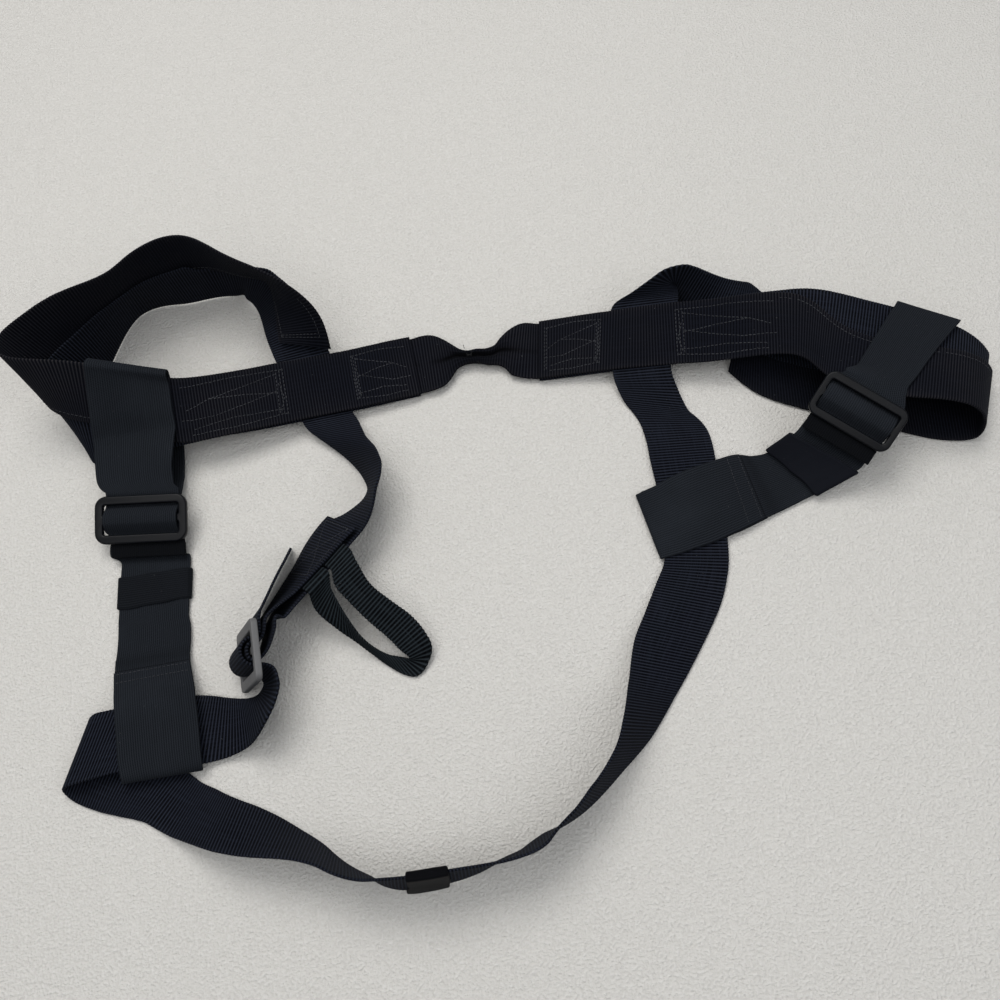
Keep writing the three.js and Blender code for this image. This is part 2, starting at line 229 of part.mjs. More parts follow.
// Under layer of the right shoulder, round the right loop, then round the waist
// on the -Y side to the waist slider and through it.
const RIGHT_BACK = [
  [35.6,165.8,6.7,28.4,117.6,1.8], [44.7,165.2,7.8,37.1,117.1,2.3],
  [53.9,164.7,8.9,45.9,116.7,3], [63,164,10.1,54.6,116.2,3.7],
  [72.1,163.3,11.5,63.3,115.6,4.6], [81.1,162.4,13.1,71.9,114.9,5.7],
  [90.1,161.5,14.8,80.7,114.1,6.8], [98.8,160.7,16.5,89.7,113.3,7.9],
  [107.4,159.8,18.2,98.7,112.5,9], [115.8,158.9,20.1,108,111.6,10.1],
  [124,158,22.2,117.4,110.7,11.4], [132.3,157.1,24.1,126.7,109.8,12.7],
  [141,156,25.8,135.6,108.8,13.8], [150.1,154.7,27.4,144.1,107.6,15.2],
  [159.3,153.3,29.1,152.3,106.4,16.8], [168.5,151.9,31.1,160.6,105.2,18.6],
  [177.4,150.7,33,169.1,104.1,20.4], [186.2,149.6,34.7,177.8,103,22.1],
  [194.8,148.5,36.4,186.8,101.8,23.8], [203.1,147.2,38,195.9,100.4,25.7],
  [211.7,146,39.5,204.8,98.9,27.8], [220.9,144.8,40.7,213,97.6,30.2],
  [230.7,143.6,41.5,220.6,96.4,33], [240.7,141.6,41.8,227.9,94.7,35.9],
  [250.4,138.7,41.5,235.2,92.3,38.6], [259.7,135.2,40.8,242.7,89.3,40.2],
  [268.4,131.6,39.9,250.5,85.9,41], [276.9,128.1,38.7,258.7,82.7,41.2],
  [285.4,125,37.1,267.1,79.8,41.1], [293.9,122.1,35.5,275.5,77,40.8],
  [302.4,118.9,34.1,283.8,74,40.4], [310.9,115.5,32.9,292,70.8,40],
  [319.3,111.9,31.8,300.1,67.5,39.5], [327.6,108.2,30.8,308.2,64,39],
  [335.8,104.2,29.7,316.1,60.2,38.4], [343.5,99.7,28.5,323.9,55.8,37.5],
  [350.8,94.7,26.9,331.2,50.8,36.2], [357.6,89.1,24.5,337.7,45.3,33.8],
  [363.5,83.6,20.8,343.2,39.7,29.2], [368,78.8,15.3,347,35,22],
  [366.4,79.9,9.9,349.1,34.1,11.4], [357.9,88,9.7,347.3,40.2,8.4],
  [349.5,94.4,9.8,342.5,45.9,7.5], [340.8,98.5,9.9,335.1,49.9,7.1],
  [332.1,100.9,10.1,326.5,52.4,6.9], [323.4,103.7,10.9,318.2,55.1,7.2],
  [314.7,106.9,11.7,310.1,58.3,7.6], [306.1,110.3,12.5,302.1,61.7,7.9],
  [297.5,113.8,13.1,294.1,65.2,8.2], [289,117.3,13.7,286.1,68.7,8.4],
  [280.5,120.8,14.2,278,72.2,8.6], [272,124.2,14.8,269.9,75.6,8.9],
  [263.6,127.7,15.4,261.7,79.1,9.1], [255.3,131.1,16.1,253.5,82.6,9.4],
  [247.1,134.6,17,245.2,86.2,9.8], [239,138.1,18.1,236.8,89.8,10.2],
  [231.1,141.6,19.3,228.4,93.4,10.7], [223.3,145.1,20.9,219.7,97.2,11.3],
  [216.2,148.8,23.1,211,101.3,12.1], [210,152.9,26.2,202.3,106.3,13.1],
  [204.4,157.5,29.6,193.9,112.2,14.1], [199.1,159.8,33.8,183.7,117.8,13.9],
  [193.2,159.5,37.3,172.4,123.3,11.6], [186.4,160.9,38.7,163.8,130.7,7.5],
  [179.4,163,40.3,157.3,140,3.3], [171.9,164.5,43.8,153.2,151.8,2.5],
  [164.2,166.5,47.8,149.9,163.5,2.8], [156.9,169.4,50.5,146.8,174.9,3.4],
  [148.2,172.1,51.6,143.7,185.2,5.2], [134.2,172.3,48.4,141.2,186.7,11],
  [121.3,170,39.5,140.4,177.8,17.4], [108.8,168.1,29.9,138.8,169.7,22.5],
  [95.9,166.4,21,136.4,162.9,27.2], [90.9,159.6,17.1,134.9,154.4,27.2],
  [90.3,150.7,16.1,133.9,145.7,24.8], [89.1,142,14.7,132.9,137,22.6],
  [88,133.3,13.3,131.9,128.2,20.4], [86.9,124.6,11.9,130.9,119.4,18.3],
  [85.6,115.8,10.5,129.8,110.7,16.2], [85.2,107.6,8.8,129.6,101.6,13.6],
  [86.5,101.1,6.3,131.9,91.6,9.8], [88.4,94.6,3.9,134.7,81.9,6.1],
  [91.2,87.2,2,138.1,73.2,3.2], [96.1,77.9,1.5,142.7,67.3,2],
  [99.5,68,1.7,146.6,60.9,1.8], [100.7,58,2.3,149,53.3,2.3],
  [101,48.6,2.8,149.9,44.8,2.7], [100.7,39.6,3.1,149.8,35.8,3.1],
  [100.8,30.1,3.3,149.3,27.3,3.3], [101.1,20.3,3.3,148.5,19.1,3.3],
  [101.2,11.1,3.3,147.6,10.4,3.3], [101.1,2.4,3.3,146.8,1.2,3.3],
  [100.9,-6.1,3.3,146.1,-8.3,3.3], [100.5,-14.3,3.3,145.6,-18.1,3.3],
  [99.7,-22.3,3.3,145.1,-28,3.3], [98.6,-30.7,3.3,144.2,-37.5,3.3],
  [97.1,-39.3,3.2,142.9,-46.7,3.2], [94.5,-47,3.1,140.5,-56.2,2.8],
  [90.5,-53.5,2.9,137,-66,2], [86.2,-60.2,3.1,132.8,-75.2,1.5],
  [81.9,-67.5,4,128.2,-83.4,1.4], [77.4,-75.1,5.2,123.2,-91.1,1.5],
  [72.9,-82.8,6.5,118.1,-98.5,1.5], [68.1,-90.6,7.8,112.9,-105.7,1.5],
  [63.7,-98.6,9.5,107.6,-112.7,1.5], [60.2,-107,11.3,102.1,-119.8,1.5],
  [57.3,-115.7,13.3,96.5,-126.8,1.5], [54.6,-124.4,16.9,90.9,-133.6,1.5],
  [51.6,-132.8,23.7,85.8,-139.7,1.5], [48.8,-141.1,31.9,81,-145.4,1.5],
  [45.8,-149.5,39.3,75.9,-151.3,1.5], [42.5,-158.1,42.9,70.1,-157.8,1.5],
  [39.1,-166.6,43.9,64,-164.5,1.5], [34.9,-174.2,45.1,57.1,-170.9,1.5],
  [29.9,-181,46.3,49.6,-177.1,1.5], [24.8,-187.1,47.3,41.7,-183.3,1.5],
  [19.7,-192.5,48.4,33.5,-190,1.5], [14.5,-197.2,49.3,25,-196.8,1.5],
  [9.1,-202.7,49.9,16.5,-202.9,1.5], [3.2,-208.2,50.3,8,-208.1,1.5],
  [-3.6,-213.3,50.4,-0.6,-212.2,1.5], [-10.5,-218.9,50.3,-9.4,-215.4,1.5],
  [-17.4,-225.3,49.9,-18.3,-217.8,1.5], [-25.2,-228.9,49.9,-26.8,-221.7,1.5],
  [-33.6,-230.7,50.3,-35.2,-226.1,1.5], [-42.2,-231.9,50.4,-44.2,-228.7,1.5],
  [-50.8,-232.5,50.4,-53.3,-231.4,1.5], [-59.3,-232.7,50.3,-62.4,-234.7,1.4],
  [-67.9,-232.8,50.7,-71.5,-237,2], [-76.6,-232.9,51.2,-80.7,-238.5,2.7],
  [-85.3,-233.1,51.2,-90,-239.3,2.8], [-94,-233.3,51.1,-99.4,-239.6,2.8],
  [-102.7,-233.3,51.1,-108.6,-239.7,2.8], [-111.2,-233,51,-118,-238.4,2.7],
  [-119.5,-232.5,50.6,-127.2,-234.9,2.3], [-127.5,-232,49.6,-135.9,-229,1.5],
  [-134.9,-231.1,48.7,-145.2,-223.3,1.5], [-143.6,-228.5,48.5,-152.5,-217.8,1.5],
  [-152.4,-224.5,48.5,-158.7,-212,1.5], [-160.5,-219.6,48.3,-164.8,-205.6,1.5],
  [-168.6,-216.1,47.5,-171.8,-199.6,1.5], [-176.9,-213.5,46.3,-179.4,-193.9,1.5],
  [-186.1,-211.4,44.8,-186.6,-188.5,1.5], [-195.6,-209.7,42.9,-193.6,-183.5,1.5],
  [-204.4,-208,40.1,-201.2,-178.6,1.5], [-213.1,-206.1,37,-209.1,-174,1.5],
  [-221.9,-203.7,35.3,-217,-170,1.5], [-231.1,-200.8,31.8,-224.1,-166.3,1.5],
  [-240.6,-197.2,25,-229.8,-163,1.5], [-250.1,-193.4,17.4,-235,-159.7,1.5],
  [-259.4,-189.5,10.8,-240.7,-156.3,1.5], [-268.6,-185.3,5,-246.5,-152.7,1.5],
  [-277.7,-179.7,2.2,-251.9,-148,1.5], [-286.1,-174.2,1.5,-258,-142.9,1.5],
  [-293.6,-171.1,1.3,-266.5,-137.9,1.5], [-300.7,-168.8,1.5,-275.8,-132.9,1.5],
  [-308,-166.3,1.5,-284.9,-127.8,1.5], [-315.2,-163.9,1.5,-294,-122.7,1.5],
  [-322.3,-160.8,1.4,-302.7,-117.2,1.5], [-329.4,-157.3,1.3,-311.1,-111.5,1.4],
  [-336.6,-152.6,1.7,-318.5,-105.7,1.6], [-340.8,-146.7,6.2,-323.6,-100,4.7],
  [-335.8,-144.5,13.1,-318.1,-96.9,10], [-326.7,-143.2,14,-309.5,-96,11],
  [-318.3,-141.9,13.6,-300.1,-95.3,10.5], [-310,-140.7,12.8,-290.6,-94.8,9.9],
  [-301.3,-139.7,12,-281.4,-94.6,10], [-292.1,-139.5,11.6,-272.6,-94.5,9.8],
  [-282.6,-139.8,11,-264.1,-94.4,9.5], [-273.1,-140.5,10.2,-255.7,-94,9],
  [-263.3,-141.3,9.1,-247.6,-93.8,8.1], [-252.7,-141.6,7.4,-240.6,-94.4,6.6],
  [-241.7,-141.2,5.8,-233.9,-95.5,4.7], [-231,-139.9,4.6,-227,-97.3,2.9],
  [-219.3,-137.7,8,-220.9,-98.5,1.9], [-208.3,-134.9,16,-215.9,-99.2,1.6],
  [-199.6,-131.9,28.5,-212,-99.6,1.6], [-191.1,-125.5,38.7,-207.5,-99.3,1.6],
  [-183.4,-114.5,42.8,-203.7,-97.3,1.6], [-179.1,-102.3,44.6,-200.8,-93.2,1.6],
  [-179.4,-98.6,45.4,-200.4,-92,2.2], [-179.9,-94.9,46.2,-200.1,-90.7,2.8],
  [-180.8,-92.2,46.9,-200.8,-88.7,3.5], [-182.2,-90.4,47.7,-202.3,-86.7,4.3],
  [-184.2,-89.2,48.7,-204.3,-85.5,5.3], [-186.5,-88.5,49.8,-206.6,-84.8,6.4],
  [-188.8,-88.3,50.9,-208.9,-84.6,7.5], [-191.1,-88.4,52,-211.2,-84.7,8.6],
  [-193.5,-88.5,53.1,-213.6,-84.8,9.6], [-195.7,-88,54.2,-215.9,-84.3,10.7],
  [-197.7,-86.7,55.2,-217.8,-83,11.8], [-199.2,-84.8,56,-219.3,-81.1,12.6],
  [-200.2,-82.5,56.7,-220.3,-78.8,13.3], [-200.6,-80,57.1,-220.7,-76.3,13.7],
  [-200.4,-77.5,57.2,-220.5,-73.8,13.8], [-199.5,-75,57,-219.6,-71.3,13.6],
  [-198.2,-72.9,56.6,-218.3,-69.2,13.1], [-196.3,-71.3,55.8,-216.4,-67.6,12.4],
  [-194,-70.5,54.9,-214.1,-66.8,11.4], [-191.7,-70.2,53.8,-211.8,-66.5,10.4],
  [-189.6,-68.9,53,-209.7,-65.2,9.5], [-188.5,-66.7,52.6,-208.6,-63,9.2],
  [-188.2,-64.2,52.7,-208.3,-60.5,9.3], [-188.2,-61.6,52.9,-208.3,-57.9,9.5],
  [-188.3,-59,53.2,-208.4,-55.3,9.8], [-187.9,-56.3,53.4,-208.2,-52.9,10],
  [-187.4,-53.9,53.3,-207.7,-50.3,9.9], [-187.4,-52.3,52.4,-206.5,-47.3,8.8],
  [-187.5,-51.4,51.2,-205,-44.2,7.2], [-187.7,-50.6,49.8,-203.4,-41.2,5.5],
  [-187.9,-49.9,48.4,-201.8,-38.1,3.7],
];

// Free end of the waist strap beyond the waist slider.
const TAIL = [
  [-188,-49.6,48,-201.6,-37.7,3.5], [-188.1,-49,47,-200.2,-35,2],
  [-183.6,-40.9,47,-195.4,-26.3,2], [-179.3,-32.8,47,-190.8,-17.6,2],
  [-174.7,-24.7,47,-185.9,-9,2], [-169.9,-16.8,47,-180.7,-0.5,2],
  [-165.3,-8.8,47,-175.9,8.1,2],
];

// Left side elastic, doubled over, through the left slider.
const LEFT_ELASTIC = [
  [-311.6,18.3,7.1,-259.4,12.9,7.1], [-310.6,27.8,9.6,-258.4,22.5,9.6],
  [-309.9,35.4,12.1,-257.6,30.1,12.1], [-309.7,36.7,13.4,-257.5,31.3,13.4],
  [-309.3,40.8,20.2,-257.1,35.5,20.2], [-309.1,42.4,21.1,-256.9,37,21.1],
  [-308.8,45.8,22,-256.6,40.5,22], [-308.6,47.6,21.8,-256.4,42.3,21.8],
  [-308.4,50,20.7,-256.1,44.7,20.7], [-307.9,54.7,18.1,-255.7,49.4,18.1],
  [-307.7,56.5,18,-255.5,51.2,18], [-307,62.5,19.9,-254.9,57.1,19.9],
  [-306.5,64.8,21.2,-254.6,59.5,21.1], [-306.9,65.7,21.4,-254.6,60.3,21.4],
  [-307.8,66.5,21.3,-254.7,60.9,21.6], [-314.8,72.5,20,-255.5,64.6,22.6],
  [-316.4,77.6,20.1,-255.8,68.1,23.8], [-316.8,88.6,21.4,-255.9,76.5,26.9],
  [-317.1,97.6,22.8,-254.4,86.8,29.7], [-317.2,104.9,24.6,-251.8,98.7,32.3],
  [-316.7,109.6,27.3,-250.4,105.4,34.3], [-315.7,113.1,31.2,-250.1,108.7,36.1],
  [-312.9,120.5,41.3,-249.8,114.6,40.4], [-310.3,128,50.8,-249.3,121,44.5],
  [-307.7,135.5,60.4,-248.8,127.5,48.7], [-305.2,142.8,69.7,-248.3,133.7,53.4],
  [-304.1,145.9,73.5,-248.1,136.4,58.6], [-303.9,146.7,73.8,-248.1,137.2,59],
  [-303.7,147.5,73.9,-248.1,138.2,59], [-303.6,148.3,73.8,-248.1,139.1,58.7],
  [-303.3,149.9,73.1,-248.1,140.7,57.7], [-302.9,152,71.5,-248.2,142.3,55.5],
  [-302.8,153.1,70.1,-248.4,142.8,53.7], [-302.8,153.8,68.5,-248.5,142.4,51.7],
  [-303.1,153.4,66.8,-248.7,141.6,50], [-304.4,149.5,61.7,-248.9,138.2,45],
  [-306.9,142.3,52.9,-249.4,132.1,39.5], [-309.4,134.4,43.4,-249.9,125.5,35.8],
  [-311,129.4,37.6,-250.1,121.2,33.3], [-311.8,128,34.6,-250.3,119.9,31.8],
  [-312.7,127.5,31.3,-250.5,119.4,29.9], [-315.7,128.8,19.3,-251.4,119.6,22.6],
  [-317.1,128.9,14,-251.8,119.2,19.1], [-317.7,128.4,12,-251.9,118.5,17.7],
  [-318.2,127.6,10.3,-252.1,117.5,16.5], [-319,125.7,8.3,-252.2,115.5,14.9],
  [-320.4,121.2,5.6,-252.5,110.7,12.3], [-322.1,112,2.9,-252.9,101.2,8.9],
  [-323.1,102.8,1,-253.4,91.2,6.4], [-322.9,94.1,0.87,-253.9,82,5.3],
  [-321.6,88.6,1.7,-254,76.8,5.7], [-318.9,83.2,4,-254,72.5,7.2],
  [-312.9,73.7,9.5,-253.7,65.8,11], [-308.9,66.5,13,-253.7,60.4,13.3],
  [-308,63.6,13.6,-253.8,58.1,13.6], [-307.5,59.9,13.5,-254.1,54.7,13.3],
  [-308.2,53.1,11.5,-255.1,47.8,11.3], [-309.5,43.8,8.6,-256.3,38.3,8.6],
  [-310.5,34.2,6.4,-257.3,28.7,6.4], [-312.3,25,3.7,-259,19.2,3.7],
  [-312.2,22.3,3,-259,16.6,3], [-312,21.4,2.8,-258.7,15.9,2.8],
  [-311.4,20.5,2.7,-258.2,15.3,2.7], [-310.6,19.9,2.6,-257.5,15.1,2.6],
  [-308.8,19,2.6,-255.8,15.2,2.6], [-305.2,17.1,2.7,-252.5,15.1,2.7],
  [-304.5,16.3,2.8,-251.9,14.7,2.8], [-304.1,15.4,2.7,-251.5,14,2.7],
  [-303.6,13.5,2.7,-251.1,12.4,2.7], [-303.8,8,2.7,-251.4,7.1,2.7],
  [-304.2,-2,2.8,-251.9,-2.6,2.8], [-304.5,-12,2.8,-252.4,-12.3,2.8],
  [-304.9,-22.1,2.8,-252.9,-22.1,2.8], [-305.3,-32.1,2.8,-253.4,-31.8,2.8],
  [-305.4,-42.9,2.9,-251.9,-40.7,2.9], [-306,-52.9,3.2,-251.8,-50.5,3.3],
  [-306.9,-62.3,3.9,-252.5,-60.7,4.1], [-306.6,-72.2,5.9,-251.3,-70.2,5.9],
  [-305.4,-81.8,9.1,-249.1,-79.1,8.6], [-303.5,-90.5,13.6,-246.8,-87.9,12.4],
  [-302.3,-96.3,15.9,-245.6,-93.7,14.4], [-301.6,-103.6,16.6,-244.7,-100.6,15],
  [-301.1,-113.8,16,-243.9,-110.1,14.6], [-300.4,-123.6,15.9,-243.2,-120.1,14.2],
  [-299.7,-133.1,15.6,-242.8,-130.3,13.6], [-298.4,-142.4,14.8,-242.3,-140.6,12.3],
  [-298.2,-144.8,13.7,-242.4,-143,11.1], [-298.3,-146.1,12.5,-242.7,-144.3,9.8],
  [-298.4,-146.6,11.8,-242.9,-144.7,9], [-298.7,-146.9,11,-243.1,-145,8.1],
  [-299.3,-146.8,9.4,-243.7,-144.9,6.4], [-299.6,-146.6,8.6,-244,-144.6,5.6],
  [-300,-146.1,8,-244.3,-144.1,4.9], [-300.7,-144.6,7.2,-245,-142.7,4],
  [-301.9,-141.4,6.2,-246,-139.4,3], [-303,-136.2,5.7,-246.8,-134,2.8],
  [-304.4,-126.6,5.6,-247.6,-123.9,3.3], [-305.3,-117.3,5.6,-248.2,-113.6,3.3],
  [-306.1,-107.6,5.7,-248.8,-103.5,3.3], [-306.6,-97.5,5.8,-249.4,-93.8,3.3],
  [-307.5,-87.5,4.7,-250.5,-84.2,2.8], [-308.3,-77.4,2.7,-252.1,-74.8,2],
  [-308.3,-67,1.2,-253.4,-65.7,1.2], [-308,-58.7,1.2,-253.5,-57.8,1.2],
];

// Right side elastic, doubled over, through the right slider.
const RIGHT_ELASTIC = [
  [209.7,33.1,33.2,248.9,-1.5,28.5], [215.9,39.6,37.3,255.1,5,32.6],
  [220.9,44.8,40.9,260.1,10.2,36.2], [221.7,45.5,42.4,260.9,10.9,37.7],
  [224.2,47.3,49.8,263.4,12.7,45.1], [225.2,48.2,50.9,264.4,13.6,46.3],
  [227.4,50.6,52.4,266.6,16,47.7], [228.6,52,52.4,267.8,17.4,47.7],
  [230.3,54,51.8,269.5,19.4,47.1], [233.5,57.9,50,272.7,23.3,45.3],
  [234.7,59.2,50.2,273.9,24.6,45.5], [240.4,61.5,52.6,277.8,29,48.2],
  [244.1,62.2,53.9,280.2,37.6,50.9], [244.5,63.4,53.8,281.5,39.9,51.2],
  [245,65.1,53.2,283.6,42.7,51], [251.5,67.4,49.5,292.2,50.8,48.9],
  [255.5,69.3,48,296.6,55,47.8], [261.9,76.2,47.6,303.9,62.2,46.1],
  [268.3,83.5,47,311.1,69.1,44.3], [274.9,90.8,46.1,318.3,75.8,42.4],
  [281.5,98.2,44.9,325.5,82.2,40.5], [288.2,105.7,43.5,332.6,88.5,38.4],
  [295.1,113.3,42,339.7,94.4,36.3], [301.4,120.2,40.4,346.1,99.6,34.2],
  [301.9,120.8,39.8,346.6,100.1,33.7], [302.5,121.5,38.2,347.2,100.7,32.3],
  [302.8,121.9,36.4,347.4,101,30.6], [302.8,121.8,34.9,347,100.9,28.5],
  [302.4,121.4,33.5,346.3,100.5,26.7], [301.6,120.6,31.9,345.2,99.8,25.5],
  [300.5,119.4,31,344,98.8,25], [299.3,118,30.7,342.7,97.7,24.9],
  [292.2,110.3,32.1,335.8,91.7,26.8], [285.4,102.7,33.3,328.8,85.5,28.6],
  [278.6,95.2,34.4,321.7,79.1,30.4], [272,87.9,35.3,314.6,72.4,32.1],
  [265.5,80.7,35.9,307.4,65.5,33.7], [259.2,73.7,36.3,300,58.4,35.2],
  [253,66.4,36.2,292.7,51.3,36.8], [246.7,60,36.2,285.2,43.6,38.1],
  [243.1,60.7,38.4,281.7,37.9,38.1], [238.3,63.2,41.6,277.4,30.1,37.5],
  [236.2,62.7,41.9,275.4,27.2,36.9], [232.6,59,40.4,271.9,23.3,35.3],
  [226.4,51.4,37.3,265.6,16.8,32.6], [219.9,44.6,34.3,259.1,10.1,29.6],
  [213.3,38.6,29.6,252.8,4.2,25.1], [206.8,33.4,24.2,246,-0.9,20.1],
  [203.2,32.5,20.4,239.5,-2.7,16.9], [197.6,31,14.5,229.3,-5.6,12],
  [192,29.6,8.5,219.1,-8.4,7], [188.4,28.7,4.7,212.7,-10.3,3.8],
  [182.6,28.2,3,201.3,-14.1,2.7], [175.8,28.5,2.6,188.7,-18.3,2.7],
  [168.6,30.1,3.5,176.4,-22.3,3.6], [160.2,30,4.5,165.5,-26.1,4.5],
  [150.7,28.2,5.4,155.9,-29.4,5.4], [140.7,26.6,5.6,146.6,-32.1,5.6],
  [131,24.7,5.6,137,-34.8,5.6], [121,22.1,5.6,127.9,-36.9,5.6],
  [110.6,18.7,5.6,119.2,-38.5,5.6], [100.8,14.7,5.6,110.1,-40.5,5.6],
  [90.8,11.8,5.6,100.7,-41.7,5.6], [86.1,10.4,4.8,95,-42.4,4.8],
  [85.6,10.5,4.1,94.5,-42.3,4.1], [85.5,10.7,3.2,94.3,-42.2,3.2],
  [85.6,11.1,2.4,94.5,-42,2.4], [86.1,11.4,1.7,95.1,-41.8,1.7],
  [86.8,11.7,1.4,96,-41.6,1.4], [91.7,13.2,0.9,101.6,-40.7,0.9],
  [101.6,15.9,1,111.1,-39.6,1], [111.6,19.8,1,120,-37.7,1],
  [121.9,23.2,1,128.8,-36.1,1], [132,25.9,1,138,-34.1,1],
  [141.6,27.8,1,147.6,-31.3,1], [151.7,29.5,1,156.9,-28.8,1],
  [161.2,30.6,1,166.7,-25.6,1], [169.5,30.6,1,177.8,-21.7,1],
];

// The two roots of the pull tab, then its long loop.
const TAB_ROOT_UPPER = [
  [-137,-0.7,25.4,-150.9,-16.8,27.6], [-134.4,-3.2,28.9,-148.4,-18.9,31.4],
  [-131.9,-5.5,32.6,-146,-20.9,35.3], [-128.8,-8.2,35.1,-142.9,-23.3,38.4],
];

const TAB_ROOT_LOWER = [
  [-158.7,-39,42.4,-144.1,-24.2,38.8], [-161.4,-37,38.6,-147,-22,35.6],
  [-163.5,-35.4,34.3,-149.4,-20,31.6], [-165.8,-33.8,30.1,-151.9,-18,27.8],
];

const TAB = [
  [-128.2,-9,35.3,-142.3,-24.1,38.5], [-125.6,-12.2,36,-140,-26.9,38.9],
  [-123.6,-17.5,37.3,-139.6,-31.4,38], [-121.7,-22.7,38.1,-139.1,-35.9,36.5],
  [-119.7,-27.4,37.3,-137.3,-40,34.9], [-117.9,-31.7,35.3,-134.6,-43.8,32.9],
  [-115.9,-35.7,33,-131.6,-47.5,31], [-113.3,-39.3,31.1,-128.7,-51.3,29.1],
  [-110.3,-42.6,29.3,-125.6,-55.2,27.3], [-107,-45.6,27.6,-122.5,-59.1,25.6],
  [-103.6,-48.7,25.9,-119.3,-62.7,23.9], [-100,-51.9,24,-116.2,-66,22],
  [-96.2,-55.1,22.2,-113.1,-69.1,20.2], [-92.4,-58.4,20.4,-110,-72.2,18.4],
  [-89,-62,18.6,-107,-75.5,16.6], [-85.9,-66,17.2,-104.2,-78.9,15.1],
  [-83,-70.5,15.6,-101.6,-82.4,13.6], [-80.5,-75.4,13.8,-98.8,-85.3,11.9],
  [-78.4,-80.7,11.5,-96.2,-87.7,10.1], [-78.8,-86.2,7.2,-95,-89.8,8.1],
  [-82.5,-93.3,3.9,-97,-88.5,5.9], [-87.4,-99.1,2.3,-100.7,-86.5,4.4],
  [-93,-101.4,1.5,-105,-85,4.1], [-98.9,-99.7,1.5,-108.7,-84,5.3],
  [-103.8,-96.9,1.5,-112.5,-82.2,7], [-107.8,-93.6,1.5,-116.5,-79.9,9],
  [-111.9,-90,1.6,-120.1,-77.4,11.3], [-116.1,-86.1,2,-123,-75.1,14.2],
  [-120.1,-82.2,2.7,-125.6,-72.4,17.2], [-123.9,-78.8,4,-128.1,-69,19.7],
  [-127.3,-75.7,6,-130.4,-64.9,22], [-130.9,-72.6,8.2,-132.4,-61,24.2],
  [-134.9,-69.4,10.5,-134.1,-57.2,26.2], [-139.1,-66.2,13.1,-135.7,-53.6,28.1],
  [-143.1,-62.8,15.9,-137.2,-49.9,29.9], [-147,-59.3,18.8,-138.7,-46.2,31.5],
  [-150.8,-55.7,21.8,-140.1,-42.5,33], [-154.1,-52,25.4,-141.3,-38.8,34.4],
  [-155.8,-48.6,30.3,-141.8,-35,36.1], [-156,-45.5,36.1,-141.6,-31.5,37.9],
  [-156,-42.4,41.9,-141.4,-27.9,39.4], [-158,-39.9,42.2,-143.4,-25.1,38.9],
];

// ---- strap stations ------------------------------------------------------
const wasm = await Module();
wasm.setup();

const vec = (x, y, z) => new THREE.Vector3(x, y, z);
const midpoint = ({ a, b }) => a.clone().add(b).multiplyScalar(0.5);

// Table rows -> stations { a, b, normal }: two edge points and the strap's unit normal.
function makeStations(rows) {
  const stations = rows.map(([ax, ay, az, bx, by, bz]) => (
    { a: vec(ax, ay, az), b: vec(bx, by, bz) }));
  const middles = stations.map(midpoint);
  stations.forEach((station, i) => {
    const before = middles[Math.max(i - 1, 0)];
    const after = middles[Math.min(i + 1, middles.length - 1)];
    const across = station.b.clone().sub(station.a);
    station.normal = after.clone().sub(before).cross(across).normalize();
  });
  return stations;
}

// Interpolated station at a fractional row.
function stationAt(stations, row) {
  const i = Math.min(Math.max(Math.floor(row), 0), stations.length - 2);
  const mix = key => stations[i][key].clone().lerp(stations[i + 1][key], row - i);
  return { a: mix('a'), b: mix('b'), normal: mix('normal').normalize() };
}

// ---- solids --------------------------------------------------------------
// Two triangles that share the diagonal i-k.
const quad = (i, j, k, l) => [[i, j, k], [i, k, l]];

function indexedGeometry(positions, indices) {
  const geometry = new THREE.BufferGeometry();
  geometry.setAttribute('position', new THREE.BufferAttribute(new Float32Array(positions), 3));
  geometry.setIndex(indices);
  return geometry;
}

// Closed solid with its faces turned outward: flipped if the signed volume is negative.
function makeSolid(vertices, triangles) {
  let volume = 0;
  for (const [i, j, k] of triangles) {
    volume += vertices[i].dot(vertices[j].clone().cross(vertices[k]));
  }
  const indices = triangles.flatMap(([i, j, k]) => (volume < 0 ? [i, k, j] : [i, j, k]));
  return indexedGeometry(vertices.flatMap(v => [v.x, v.y, v.z]), indices);
}

// Closed strip along the stations; thicknessAt gives its thickness at each row.
function ribbon(stations, thicknessAt) {
  const vertices = [];
  stations.forEach(({ a, b, normal }, i) => {
    const half = thicknessAt(i) / 2;
    for (const [edge, offset] of [[a, half], [b, half], [b, -half], [a, -half]]) {
      vertices.push(edge.clone().addScaledVector(normal, offset));
    }
  });
  const last = (stations.length - 1) * 4;
  const triangles = [];
  for (let base = 0; base < last; base += 4) {
    for (let k = 0; k < 4; k++) {
      const p = base + k;
      const q = base + (k + 1) % 4;
      triangles.push(...quad(p, q, q + 4, p + 4));
    }
  }
  triangles.push(...quad(0, 3, 2, 1), ...quad(last, last + 1, last + 2, last + 3));
  return makeSolid(vertices, triangles);
}

const evenRibbon = (stations, thickness) => ribbon(stations, () => thickness);

// Rectangle with cut corners, as 8 points [across, along normal].
function chamferedRing(x, y, cut) {
  return [
    [x, y - cut], [x - cut, y], [-x + cut, y], [-x, y - cut],
    [-x, -y + cut], [-x + cut, -y], [x - cut, -y], [x, -y + cut],
  ];
}

